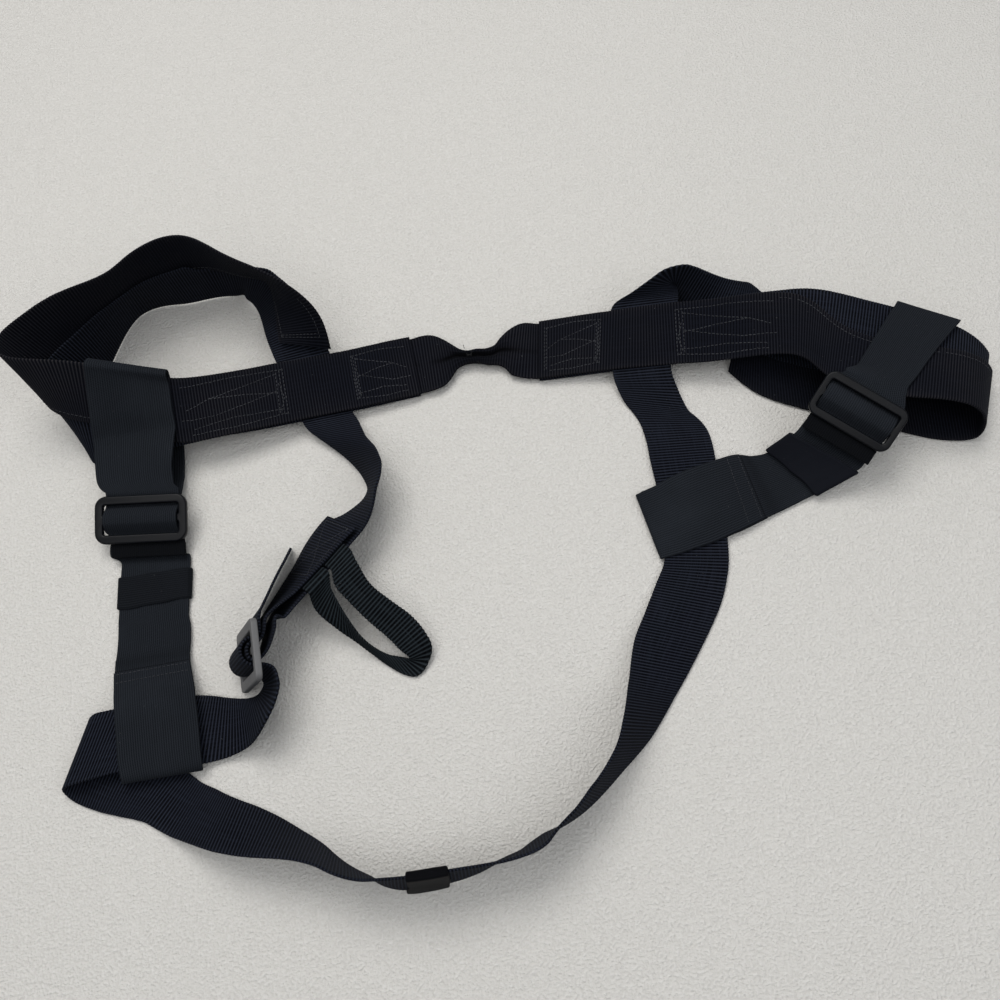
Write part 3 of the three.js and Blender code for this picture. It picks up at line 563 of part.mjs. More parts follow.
// Closed sleeve round a strap between two fractional rows.
function sleeve({ stations, from, to, thickness, gap, wall }) {
  const rows = [from];
  for (let i = Math.ceil(from + KEEPER_ROW_MARGIN); i < to - KEEPER_ROW_MARGIN; i++) {
    rows.push(i);
  }
  rows.push(to);

  const vertices = [];
  for (const row of rows) {
    const station = stationAt(stations, row);
    const centre = midpoint(station);
    const across = station.b.clone().sub(station.a);
    const halfWidth = across.length() / 2;
    across.normalize();
    const normal = station.normal.clone();
    normal.addScaledVector(across, -station.normal.dot(across)).normalize();
    const addRing = (offset, cut) => {
      for (const [x, y] of chamferedRing(halfWidth + offset, thickness / 2 + offset, cut)) {
        vertices.push(centre.clone().addScaledVector(across, x).addScaledVector(normal, y));
      }
    };
    addRing(gap, KEEPER_INNER_CHAMFER);
    addRing(gap + wall, KEEPER_OUTER_CHAMFER);
  }

  const ring = 8;                    // inner ring, then outer ring, at each row
  const last = (rows.length - 1) * 2 * ring;
  const triangles = [];
  for (let k = 0; k < ring; k++) {
    const k2 = (k + 1) % ring;
    for (let base = 0; base < last; base += 2 * ring) {
      const next = base + 2 * ring;
      triangles.push(
        ...quad(next + ring + k, next + ring + k2, base + ring + k2, base + ring + k),
        ...quad(base + k2, next + k2, next + k, base + k));
    }
    triangles.push(
      ...quad(k, ring + k, ring + k2, k2),
      ...quad(last + k, last + k2, last + ring + k2, last + ring + k));
  }
  return makeSolid(vertices, triangles);
}

function roundedRect(path, x0, y0, x1, y1, radius) {
  path.moveTo(x0 + radius, y0);
  path.lineTo(x1 - radius, y0);
  path.quadraticCurveTo(x1, y0, x1, y0 + radius);
  path.lineTo(x1, y1 - radius);
  path.quadraticCurveTo(x1, y1, x1 - radius, y1);
  path.lineTo(x0 + radius, y1);
  path.quadraticCurveTo(x0, y1, x0, y1 - radius);
  path.lineTo(x0, y0 + radius);
  path.quadraticCurveTo(x0, y0, x0 + radius, y0);
  return path;
}

// Tri-glide: flat frame with two slots and a bar between them. The outline is
// drawn one bevel inside the finished frame, because the bevel grows it back.
function triGlide({ width, height, thickness, side, rail, bar, bevel }) {
  const x = width / 2 - bevel;
  const y = height / 2 - bevel;
  const frame = roundedRect(new THREE.Shape(), -x, -y, x, y, GLIDE_CORNER);
  const slotX = width / 2 - side + bevel;
  const slotNear = bar / 2 - bevel;
  const slotFar = height / 2 - rail + bevel;
  for (const [low, high] of [[slotNear, slotFar], [-slotFar, -slotNear]]) {
    frame.holes.push(roundedRect(new THREE.Path(), -slotX, low, slotX, high, SLOT_CORNER));
  }
  const depth = thickness - 2 * bevel;
  const geometry = new THREE.ExtrudeGeometry(frame, {
    depth,
    bevelEnabled: true,
    bevelThickness: bevel,
    bevelSize: bevel,
    bevelSegments: 1,
    curveSegments: 3,
  });
  geometry.translate(0, 0, -depth / 2);
  geometry.deleteAttribute('normal');
  geometry.deleteAttribute('uv');
  return mergeVertices(geometry, 1e-4);
}

// ---- stitching -----------------------------------------------------------
function toManifold(geometry) {
  return new wasm.Manifold(new wasm.Mesh({
    numProp: 3,
    vertProperties: new Float32Array(geometry.attributes.position.array),
    triVerts: new Uint32Array(geometry.index.array),
  }));
}

function fromManifold(manifold) {
  const mesh = manifold.getMesh();
  return indexedGeometry(mesh.vertProperties, Array.from(mesh.triVerts));
}

// Splits a polyline of [row, across 0..1] points into short steps along the strap.
function subdivide(line) {
  const points = [];
  for (let i = 0; i < line.length - 1; i++) {
    const [row0, across0] = line[i];
    const [row1, across1] = line[i + 1];
    const steps = Math.max(1, Math.ceil(Math.abs(row1 - row0) / STITCH_MAX_STEP));
    for (let k = 0; k < steps; k++) {
      points.push([
        row0 + (row1 - row0) * k / steps,
        across0 + (across1 - across0) * k / steps,
      ]);
    }
  }
  points.push(line[line.length - 1]);
  return points;
}

// One sewn line as a thin ribbon, offset from the strap by a signed lift.
function sewnLine(stations, line, offset) {
  const points = subdivide(line).map(([row, across]) => {
    const { a, b, normal } = stationAt(stations, row);
    return { point: a.lerp(b, across), normal };
  });
  const edges = points.map(({ point, normal }, i) => {
    const before = points[Math.max(i - 1, 0)].point;
    const after = points[Math.min(i + 1, points.length - 1)].point;
    const along = after.clone().sub(before).normalize();
    const sideways = normal.clone().cross(along).normalize().multiplyScalar(STITCH_WIDTH / 2);
    const centre = point.clone().addScaledVector(normal, offset);
    return { a: centre.clone().sub(sideways), b: centre.clone().add(sideways), normal };
  });
  return evenRibbon(edges, STITCH_THICKNESS);
}

// Sewn lines joined together; side is +1 or -1 along the strap's normal.
function sewn(stations, lines, side, lift = STITCH_LIFT) {
  const parts = lines.map(line => toManifold(sewnLine(stations, line, side * lift)));
  return fromManifold(parts.reduce((joined, part) => joined.add(part)));
}

// Line straight across a strap, and line along it.
const crossLine = (row, inset) => [[row, inset], [row, 1 - inset]];
const alongLine = (from, to, across) => [[from, across], [to, across]];

// Box with both diagonals.
function crossedBox(from, to) {
  const low = BOX_INSET;
  const high = 1 - BOX_INSET;
  return [
    alongLine(from, to, low),
    alongLine(from, to, high),
    crossLine(from, low - BOX_END_OVERLAP),
    crossLine(to, low - BOX_END_OVERLAP),
    [[from, low], [to, high]],
    [[from, high], [to, low]],
  ];
}

// Two lines across an elastic, joined near its b edge.
function elasticSeam(from, to) {
  const overrun = 0.05;
  return [
    crossLine(from, ELASTIC_ROW_INSET),
    crossLine(to, ELASTIC_ROW_INSET),
    alongLine(from - overrun, to + overrun, 0.94),
  ];
}

// ---- materials -----------------------------------------------------------
const MATERIALS = {
  webbing: { color: 0x14161c, roughness: 0.85, metalness: 0 },
  elastic: { color: 0x1d2425, roughness: 0.95, metalness: 0 },
  blackPlastic: { color: 0x22252c, roughness: 0.4, metalness: 0 },
  greyPlastic: { color: 0x5a5a5c, roughness: 0.55, metalness: 0 },
  thread: { color: 0x4a4c52, roughness: 0.9, metalness: 0 },
};

const group = new THREE.Group();

function addPiece(name, geometry, material) {
  geometry.computeVertexNormals();
  const mesh = new THREE.Mesh(geometry, new THREE.MeshStandardMaterial(MATERIALS[material]));
  mesh.name = name;
  group.add(mesh);
  return mesh;
}

// ---- straps --------------------------------------------------------------
const yoke = makeStations(YOKE);
const leftFront = makeStations(LEFT_FRONT);
const leftBack = makeStations(LEFT_BACK);
const rightFront = makeStations(RIGHT_FRONT);
const rightBack = makeStations(RIGHT_BACK);
const leftElastic = makeStations(LEFT_ELASTIC);
const rightElastic = makeStations(RIGHT_ELASTIC);

// The yoke thickens linearly towards the middle of the gather.
function yokeThickness(row) {
  const rise = Math.max(0, 1 - Math.abs(row - GATHER.middleRow) / GATHER.halfLengthRows);
  return WEBBING_THICKNESS + (GATHER.thickness - WEBBING_THICKNESS) * rise;
}

addPiece('yoke_webbing', ribbon(yoke, yokeThickness), 'webbing');
for (const [name, stations, thickness, material] of [
  ['left_shoulder_front_webbing', leftFront, WEBBING_THICKNESS, 'webbing'],
  ['left_shoulder_back_webbing', leftBack, WEBBING_THICKNESS, 'webbing'],
  ['right_shoulder_front_webbing', rightFront, WEBBING_THICKNESS, 'webbing'],
  ['right_shoulder_back_webbing', rightBack, WEBBING_THICKNESS, 'webbing'],
  ['strap_tail', makeStations(TAIL), WEBBING_THICKNESS, 'webbing'],
  ['pull_tab_root_upper', makeStations(TAB_ROOT_UPPER), TAB_THICKNESS, 'webbing'],
  ['pull_tab_root_lower', makeStations(TAB_ROOT_LOWER), TAB_THICKNESS, 'webbing'],
  ['pull_tab', makeStations(TAB), TAB_THICKNESS, 'webbing'],
  ['left_elastic', leftElastic, ELASTIC_THICKNESS, 'elastic'],
  ['right_elastic', rightElastic, ELASTIC_THICKNESS, 'elastic'],
]) {
  addPiece(name, evenRibbon(stations, thickness), material);
}

// ---- sliders -------------------------------------------------------------
// widthAxis and heightAxis are the directions of the glide's width and height.
function addSlider(name, { size, material, centre, widthAxis, heightAxis }) {
  const mesh = addPiece(name, triGlide(size), material);
  const x = vec(...widthAxis).normalize();
  const y = vec(...heightAxis);
  y.addScaledVector(x, -x.dot(y)).normalize();
  mesh.matrix.makeBasis(x, y, x.clone().cross(y)).setPosition(...centre);
  mesh.matrix.decompose(mesh.position, mesh.quaternion, mesh.scale);
}

addSlider('left_slider', {
  size: SIDE_GLIDE,
  material: 'blackPlastic',
  centre: [-282.8, 41.98, 18.0],
  widthAxis: [0.99483, -0.10156, 0.0],
  heightAxis: [0.09753, 0.95534, 0.27894],
});
addSlider('right_slider', {
  size: SIDE_GLIDE,
  material: 'blackPlastic',
  centre: [246.42, 33.19, 45.9],
  widthAxis: [0.74677, -0.65908, -0.08909],
  heightAxis: [0.62556, 0.65058, 0.4306],
});
addSlider('waist_slider', {
  size: WAIST_GLIDE,
  material: 'greyPlastic',
  centre: [-202.15, -77.5, 31.5],
  widthAxis: [0.41884, -0.07708, 0.90478],
  heightAxis: [0.03562, -0.99423, -0.10119],
});

// ---- keepers -------------------------------------------------------------
addPiece('left_elastic_keeper', sleeve({
  stations: leftElastic, from: 69.41, to: 71.91,
  thickness: ELASTIC_THICKNESS, gap: KEEPER_GAP, wall: KEEPER_WALL,
}), 'elastic');
addPiece('right_elastic_keeper', sleeve({
  stations: rightElastic, from: 47.21, to: 50.66,
  thickness: ELASTIC_THICKNESS, gap: RIGHT_KEEPER_GAP, wall: KEEPER_WALL,
}), 'webbing');
addPiece('waist_strap_keeper', sleeve({
  stations: rightBack, from: 129.35, to: 132.34,
  thickness: WEBBING_THICKNESS, gap: KEEPER_GAP, wall: WAIST_KEEPER_WALL,
}), 'webbing');

// ---- thread --------------------------------------------------------------
const PATCH_LINES = [
  alongLine(60.2, 64.3, 0.92),
  [[64.2, 0.94], [64.2, 0.14]],
  [[61.0, 0.14], [64.3, 0.16]],
];
const BAR_TACK_LINES = [
  crossLine(15.7, BAR_TACK_INSET),
  crossLine(17.0, BAR_TACK_INSET),
  [[15.6, 0.2], [17.1, 0.8]],
  [[15.6, 0.8], [17.1, 0.2]],
];
const HEM_LINES = [crossLine(0.7, ELASTIC_ROW_INSET)];
const leftBackEnd = leftBack.length - 1;

// Name, strap, lines, side of the strap, lift (STITCH_LIFT where left out).
for (const [name, ...stitching] of [
  ['left_yoke_stitch', leftFront, crossedBox(0.5, 5.4), 1],
  ['left_shoulder_stitch', leftFront, crossedBox(11.4, 20.2), 1],
  ['right_yoke_stitch', rightFront, crossedBox(0.5, 5.4), -1],
  ['right_shoulder_stitch', rightFront, crossedBox(12.0, 20.4), -1],
  ['left_loop_seam', leftFront, [alongLine(44, 57, 0.9)], 1, LEFT_LOOP_SEAM_LIFT],
  ['right_loop_seam', rightFront, [alongLine(21.2, 25.8, 0.09)], -1, RIGHT_LOOP_SEAM_LIFT],
  ['left_patch_stitch', leftFront, PATCH_LINES, -1],
  ['waist_end_stitch', leftBack, crossedBox(leftBackEnd - 5.4, leftBackEnd - 0.4), -1,
    WAIST_END_LIFT],
  ['left_elastic_seam', leftElastic, elasticSeam(76.92, 77.60), 1, ELASTIC_STITCH_LIFT],
  ['right_elastic_seam', rightElastic, elasticSeam(54.39, 55.39), 1, ELASTIC_STITCH_LIFT],
  ['left_hem_stitch', leftElastic, HEM_LINES, -1, ELASTIC_STITCH_LIFT],
  ['right_hem_stitch', rightElastic, HEM_LINES, -1, ELASTIC_STITCH_LIFT],
  ['yoke_bar_tack', yoke, BAR_TACK_LINES, -1, BAR_TACK_LIFT],
]) {
  addPiece(name, sewn(...stitching), 'thread');
}

export default group;
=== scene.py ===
"""Webbing harness laid out on a floor.

The floor is the z = 0 plane. The yoke lies across the +y side, a shoulder loop reaches out to -x
and another to +x, and the two back straps meet at the waist slider in the -x, -y quarter. Lengths
are in millimetres until a mesh is made. Lights, camera, floor and bump depths are in metres.
"""
import bpy, bmesh, math, json
import numpy as np
from mathutils import Matrix, Vector

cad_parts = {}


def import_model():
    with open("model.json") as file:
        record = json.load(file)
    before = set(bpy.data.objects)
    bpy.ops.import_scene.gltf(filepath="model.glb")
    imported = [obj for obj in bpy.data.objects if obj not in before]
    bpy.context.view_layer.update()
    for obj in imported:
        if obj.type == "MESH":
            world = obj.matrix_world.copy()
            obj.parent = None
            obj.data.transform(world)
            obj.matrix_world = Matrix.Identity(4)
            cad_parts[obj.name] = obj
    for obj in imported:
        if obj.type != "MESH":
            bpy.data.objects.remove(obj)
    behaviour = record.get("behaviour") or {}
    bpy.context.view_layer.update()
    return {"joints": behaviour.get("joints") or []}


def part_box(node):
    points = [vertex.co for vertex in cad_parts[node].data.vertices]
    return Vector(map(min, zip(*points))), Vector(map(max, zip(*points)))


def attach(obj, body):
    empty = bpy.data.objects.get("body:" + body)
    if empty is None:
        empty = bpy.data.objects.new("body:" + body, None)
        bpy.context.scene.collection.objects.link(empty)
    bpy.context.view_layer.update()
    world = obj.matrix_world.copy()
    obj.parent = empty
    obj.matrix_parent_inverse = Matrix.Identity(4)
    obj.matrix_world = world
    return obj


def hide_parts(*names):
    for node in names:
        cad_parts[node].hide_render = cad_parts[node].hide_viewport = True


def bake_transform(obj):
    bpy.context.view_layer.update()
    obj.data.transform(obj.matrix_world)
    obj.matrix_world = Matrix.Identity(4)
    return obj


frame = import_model()

MM = 0.001

# ------------------------------------------------------------------ dimensions (mm)
WEB_T = 2.0             # ribbed webbing thickness
ELASTIC_T = 1.5         # side elastic thickness
TAB_T = 1.6             # pull tab webbing thickness
RIB = 2.25              # rib pitch of the wide webbing
FINE_RIB = 2.2          # rib pitch of the yoke and front straps
TAB_RIB = 2.7           # rib pitch of the narrow webbing
CORD = 1.6              # cord pitch across the elastic
EDGE_ROUND = 0.95       # rounding of a strap's long edges
NOMINAL_WIDTH = 49.0    # width that edge wander is measured against
WEB_STEP, ELASTIC_STEP, TAB_STEP = 0.56, 0.8, 0.6   # spacing of mesh rings along a strap

HEM_ROW = 1.45          # station row where the thick hem of an elastic stops
LAYER_T = 1.5           # extra thickness where an elastic is doubled
LEFT_SEAM_ROW, RIGHT_SEAM_ROW = 76.92, 54.39        # station rows where doubling starts


# ------------------------------------------------------------------ strap paths
def stations(text):
    """Six numbers per station: x y z of the middle of edge A, then x y z of edge B (mm)."""
    return np.array(text.replace(',', ' ').split(), float).reshape(-1, 6)


YOKE = stations("""
-114.3 160.4 15.4 -111.9 114.3 7.8, -108.3 161.1 15 -106 114.9 7.4,
-102.3 161.9 14.6 -100 115.6 6.9, -96.3 162.7 14.1 -94 116.3 6.5,
-90.4 163.5 13.6 -87.9 117.1 6.1, -84.6 164.2 13 -81.8 117.8 5.7,
-78.7 165 12.3 -75.7 118.6 5.2, -73 165.9 11.6 -69.5 119.3 4.7,
-66.8 166.6 11.4 -63.7 119.9 4.8, -60 167.3 12.2 -58.6 119.9 5.8,
-53.6 167.2 12.4 -52.9 120.8 6.6, -48.2 166 11.5 -46.4 123.1 6.4,
-42.5 162.7 10.6 -40.2 128.5 6.9, -36.5 157.6 10 -34.4 135.9 7.9,
-30.9 152.7 9.6 -28.1 138.3 8.7, -24.9 150.2 9.5 -22.4 138.7 9.1,
-17.8 150.6 9.5 -17.3 137.8 9, -10 149.9 9.4 -13.2 136.4 9.1,
-2.8 151.7 9.6 -8.4 134.9 8.8, 2.6 157.2 10.1 -2.6 134 8,
9.3 162 10.9 2.6 130.6 7.1, 17 165.1 11.9 6.6 124.8 6.2,
23.1 166 11.6 12.4 121.7 5.5, 28.2 165.6 10.5 19 119.9 5,
33.2 164.8 9.5 25.9 118.6 4.5, 39.1 164.3 9.6 32 118 4.7,
45.2 164 10.4 37.9 117.8 5.1, 51.4 163.6 11.2 43.8 117.5 5.6,
57.5 163.1 11.9 49.6 117.2 6, 63.6 162.7 12.8 55.5 116.8 6.6,
69.7 162.2 13.7 61.3 116.3 7.2, 75.8 161.6 14.7 67.2 115.8 7.9,
81.9 161 15.8 73 115.2 8.6
""")
LEFT_FRONT = stations("""
-69.2 166.9 14 -65.5 118.6 7, -77.9 165.7 15 -74.7 117.4 7.7,
-86.6 164.5 16 -83.8 116.2 8.3, -95.4 163.3 16.8 -92.9 115.1 8.9,
-104.3 162.2 17.5 -101.9 114 9.5, -113.3 161 18.1 -110.8 113 10.2,
-122.3 159.9 18.9 -119.6 111.9 10.9, -131.2 158.7 20.2 -128.5 110.8 11.7,
-140 157.4 21.8 -137.4 109.6 12.6, -148.8 156.1 23.5 -146.2 108.3 13.7,
-157.5 154.8 25.1 -155.1 107 15.1, -166.2 153.4 26.7 -164 105.6 16.7,
-174.9 151.9 28.4 -172.8 104.1 18.3, -183.7 150.3 30.2 -181.5 102.7 19.8,
-192.5 148.6 32.3 -190.1 101.2 21.3, -201.2 146.9 34.5 -198.8 99.8 22.7,
-209.8 145.1 36.9 -207.6 98.6 24, -218.3 143.3 39.6 -216.5 97.4 25.1,
-226.7 141.5 42.6 -225.7 96.4 25.7, -234.8 139.7 45.9 -235 95.4 25.6,
-242.9 138.4 49.4 -244.7 95.8 25.2, -250.7 138.4 52.6 -254.4 98 25.1,
-258.4 139.7 55.5 -264.1 101.4 25.4, -266.1 141.3 58.3 -273.4 105 26.2,
-273.7 142.9 61.2 -282.4 108.4 27.5, -281.3 144.3 64.1 -291.3 111.6 29,
-288.6 145.6 67 -300.1 114.6 30.9, -296.4 147.1 69.9 -308.5 117.4 32.9,
-307.4 149.5 72.3 -316.6 119.9 34.4, -321.7 152.7 73.9 -324.5 122.5 35.4,
-336.2 155.4 74.9 -332.3 125.9 35.9, -349 157.8 75.6 -339.6 130.4 36,
-359.8 160.8 76.2 -345.9 136.4 36, -366.7 165.3 77 -349.9 144.2 36.1,
-368.4 170.8 78.2 -350.3 152.9 36.3, -366.1 176.2 79.6 -347.7 161.6 36.6,
-360.6 180.7 81.5 -343.2 169.5 37.1, -352.1 185.1 83.9 -337.4 176.3 38,
-342.1 189.7 86.2 -331.2 182.5 39, -331.8 194.6 88 -324.9 188.5 39.9,
-321.8 199 88.7 -318.6 194.8 40, -312.3 202.6 88.5 -312.6 201.4 39.5,
-303.4 205.7 88 -306.5 208.2 39.1, -294.8 208.4 87.5 -300.1 214.8 39.2,
-286.7 211.4 87.2 -293.4 221 39.6, -279.4 215.2 87.2 -286.1 226.4 39.9,
-272.9 220.1 87.5 -278.3 230.9 40, -266.5 225.1 88 -269.8 234.2 40,
-259.6 229.4 88.5 -260.8 236 40, -252 233 88.9 -251.8 237.2 40.1,
-243.5 235.8 89.1 -242.8 238.6 40.1, -234.6 237.2 89 -233.9 239.8 40.1,
-225.7 236.5 88.7 -224.9 239.9 39.8, -216.7 232.9 88 -216.2 238.5 39.3,
-207.2 226.4 86.7 -208.2 235.6 38.6, -197.3 218.6 85.4 -200.2 231.8 38.4,
-187.1 211.4 84.4 -191.5 228.1 38.6, -176.5 204.9 83.2 -182.8 224.9 39.1,
-166.2 198.8 81 -175.6 221.3 39, -157.1 193.5 77.4 -171.8 215 36.8,
-149.3 188.8 72.4 -170.7 206 34.4, -142 184 65.5 -170.2 198 33.1,
-135.8 178.9 56.7 -170.2 190.3 31.6, -132.1 174 46.2 -169.9 182.6 31,
-130.7 168.5 34.2 -169.7 175.6 30.5, -130.8 161.9 21 -169.4 169.5 29.6
""")
LEFT_BACK = stations("""
-66.1 119.2 1.8 -69.8 167.5 8.8, -75.3 118.1 2.4 -78.5 166.4 9.8,
-84.4 117 3.1 -87.2 165.3 10.8, -93.5 115.9 3.7 -96 164.1 11.6,
-102.5 114.8 4.3 -104.9 163 12.3, -111.4 113.8 5 -113.9 161.8 12.9,
-120.3 112.8 5.7 -122.9 160.7 13.7, -129.1 111.7 6.5 -131.8 159.6 15,
-138 110.5 7.5 -140.7 158.4 16.6, -146.9 109.3 8.6 -149.5 157.2 18.3,
-155.8 108 10 -158.2 155.8 20, -164.7 106.6 11.5 -166.9 154.4 21.5,
-173.5 105.2 13.1 -175.6 153 23.2, -182.2 103.8 14.7 -184.4 151.4 25.1,
-190.8 102.3 16.6 -193.1 149.7 27.6, -199.3 100.8 18.7 -201.7 147.9 30.5,
-207.9 99.5 20.7 -210.1 146.1 33.6, -216.7 98.4 22.2 -218.6 144.3 36.6,
-225.9 97.5 22.9 -226.9 142.6 39.6, -235.3 96.7 22.8 -235.1 141 43,
-245 96.2 21.9 -243.2 138.8 46, -254.9 96.3 20.1 -251.2 136.7 47.7,
-264.8 96.8 17.9 -259.2 135.1 48, -274.5 97.4 15.5 -267.3 133.8 47.6,
-284.1 98 13.3 -275.6 132.6 46.9, -293.6 98.5 11.1 -283.9 131.5 45.9,
-303.2 99 8.9 -292.1 130.5 44.7, -312.6 99.4 6.7 -300.4 129.6 43.4,
-320.8 99.8 4.6 -309.9 129.4 42.2, -325.7 101.1 3.2 -322.7 131.2 41.7,
-328.5 106.6 3.2 -334.9 135.4 42.4, -331.2 115.2 3.7 -343.6 140.7 43.6,
-333.2 125 4.1 -349.4 147 44.7, -333.2 135.6 4.1 -351.2 154.3 45.7,
-331.2 146 3.9 -349.7 161.5 46.5, -328.1 156 3.5 -346.1 168.3 47.4,
-324.6 165.2 3.1 -340.3 174.6 48.6, -321.1 173.3 2.9 -332.9 180.9 49.8,
-317.5 180.9 2.6 -324.9 187.1 50.6, -313.9 189 2.3 -317.4 193.4 51,
-310.5 197.9 2.1 -310.6 199.4 51, -306.8 207.1 1.8 -304.1 205.1 50.7,
-302.7 216.3 1.5 -297.6 210.5 49.9, -297.7 224.9 1.3 -291.2 215.8 49,
-291.2 232 1.2 -284.4 220.9 48.4, -282.8 236.4 1.2 -277.2 225.4 48.7,
-273.1 238.2 1.4 -269.6 228.9 49.3, -263.2 238.2 1.6 -261.6 231.2 50,
-253.4 237.5 1.7 -253.4 232.9 50.5, -244.1 237.6 1.8 -244.7 234.6 50.7,
-235.1 238.5 1.8 -235.7 236 50.8, -226 239.1 1.8 -226.8 236.5 44.6,
-217.1 239 1.6 -215.7 239.4 42, -209.3 238.5 1.1 -204.7 236.8 43,
-202.9 238 1.32 -192.6 232.4 48.4, -199.7 231.1 4.2 -181.5 229.1 47.8,
-195.4 225.7 6.1 -170.8 224.6 48.5, -191.8 219 8.2 -162.9 216.5 47.7,
-188.8 211.5 10.4 -156.3 208.5 47.4, -186.5 203.3 12.8 -152.7 200.1 47,
-184.6 194.8 15.4 -148.5 193 45.9, -182.8 186.4 18 -144 186.9 42.7,
-180.9 178.4 20.2 -140.3 181.6 37.5, -178.9 171 21.7 -137.3 176.8 30.3,
-176.9 163.8 22.1 -136 171.1 21.8, -174.7 156.4 21.9 -134.1 166.1 13.5,
-173.1 151 20.3 -131.3 155.3 13.1, -169 138.5 21.6 -128.5 144.5 14.7,
-166.4 130.1 19.3 -126.2 135.9 12.9, -163.8 121.7 17.1 -124 127.4 11.2,
-161.1 113.3 14.9 -121.8 118.8 9.6, -158.6 105.1 11.8 -119.7 110.5 6.8,
-154.8 98.8 10 -115.9 101.1 12, -150.2 94.4 8 -112.4 90.2 19.3,
-145 89.9 6.1 -109 79.7 26.5, -138.6 84.3 4.6 -105.1 71.3 32.8,
-131.8 77.9 3.3 -101.4 63.6 38.2, -125.4 70.3 2.5 -98.9 55.7 41.7,
-119.7 61.8 2.1 -97.5 47.6 43.6, -115.9 53.6 1.9 -98.8 38.1 45,
-114.3 46 2 -102.4 27.7 45.8, -118.2 38.7 2.1 -105 18.4 44.6,
-126.3 32.9 1.6 -108.3 10.7 41.4, -135.2 28.7 0.79 -113.1 4.6 37,
-144.7 25.3 0.85 -118.8 0.3 32.5, -150.9 18.5 0.84 -125.1 -5.8 32.5,
-156.7 11.2 0.83 -131.1 -12.2 33.3, -162.2 3.5 0.8 -136.9 -18.5 34.5,
-167.1 -4.7 0.76 -142.7 -24.7 36.4, -171.9 -12.9 0.72 -148.5 -31 38.3,
-177 -20.6 0.69 -154.7 -37.3 39.7, -182.3 -27.9 0.66 -161.1 -43.7 40.7,
-188.1 -35 0.64 -167.4 -50 41.4, -193.9 -42.1 0.62 -173.8 -56.3 42,
-195.1 -45.1 1.4 -174.9 -56.1 44, -196.2 -48.1 3.1 -176.1 -55.7 46.1,
-197.4 -51.2 4.6 -177.2 -55.8 48, -198.1 -54.3 5.4 -178 -57.3 48.9,
-198.5 -56.8 5.3 -178.4 -59.9 48.8, -198.8 -59.2 5.1 -178.7 -62.7 48.5,
-199.3 -61.7 5 -179.2 -65.4 48.5, -200.1 -64.1 5.1 -180 -67.9 48.6,
-200.9 -66.6 5.3 -180.8 -70.3 48.7, -201.7 -69.1 5.5 -181.6 -72.8 48.9,
-202.7 -71.5 5.7 -182.6 -75.2 49.2, -203.7 -73.8 6 -183.6 -77.5 49.4,
-205 -76.1 6.4 -184.9 -79.8 49.9, -206.5 -78.1 7 -186.4 -81.8 50.4,
-208.3 -79.9 7.6 -188.2 -83.6 51, -210.4 -81.2 8.5 -190.3 -84.9 51.9,
-212.7 -81.7 9.5 -192.6 -85.4 52.9, -214.9 -80.9 10.6 -194.8 -84.6 54,
-216.2 -78.8 11.3 -196.1 -82.5 54.8, -216.6 -76.3 11.8 -196.5 -80 55.2,
-216.5 -73.7 11.9 -196.4 -77.4 55.4, -215.6 -71.3 11.7 -195.5 -75 55.1,
-213.7 -69.9 10.9 -193.5 -73.6 54.4, -211.3 -69.5 9.9 -191.2 -73.2 53.3,
-209.1 -68.5 9 -189 -72.2 52.4, -207.4 -66.7 8.3 -187.3 -70.4 51.7,
-206.3 -64.4 8 -186.2 -68.1 51.4, -205.6 -61.9 7.9 -185.5 -65.6 51.3,
-205.2 -59.3 7.9 -185.1 -63 51.4, -204.8 -56.8 7.9 -184.7 -60.4 51.4,
-204.2 -54.3 7.9 -184.1 -57.8 51.4, -203.1 -51.7 7.6 -183 -55.8 51,
-201.7 -49.2 7.3 -181.5 -54 50.5, -200.3 -46.6 6.9 -180 -52.5 49.9,
-198.7 -44.1 6.4 -178.3 -51 49.3, -197.2 -41.6 6 -176.6 -49.6 48.6,
-195.6 -39.1 5.5 -174.9 -48.2 48, -194 -36.6 5.1 -173.2 -46.9 47.3,
-192.4 -34.1 4.6 -171.5 -45.5 46.6, -190.7 -31.6 4.2 -169.8 -44.2 46,
-189.1 -29.1 3.7 -168.1 -42.8 45.3, -187.6 -26.6 3.2 -166.4 -41.4 44.7,
-186 -24.1 2.8 -164.8 -40 44, -180.6 -16.7 2.9 -158.2 -33.6 43.1,
-175.2 -9.1 2.9 -151.8 -27.3 41.9, -170.2 -0.9 3 -145.7 -21.1 40.2,
-165.1 7.3 3 -139.7 -14.8 38.7, -159.3 15 3.1 -133.8 -8.5 37.7,
-153.1 22.1 3.1 -127.5 -2.3 37, -146.4 28.5 3.1 -120.6 3.6 36.5
""")
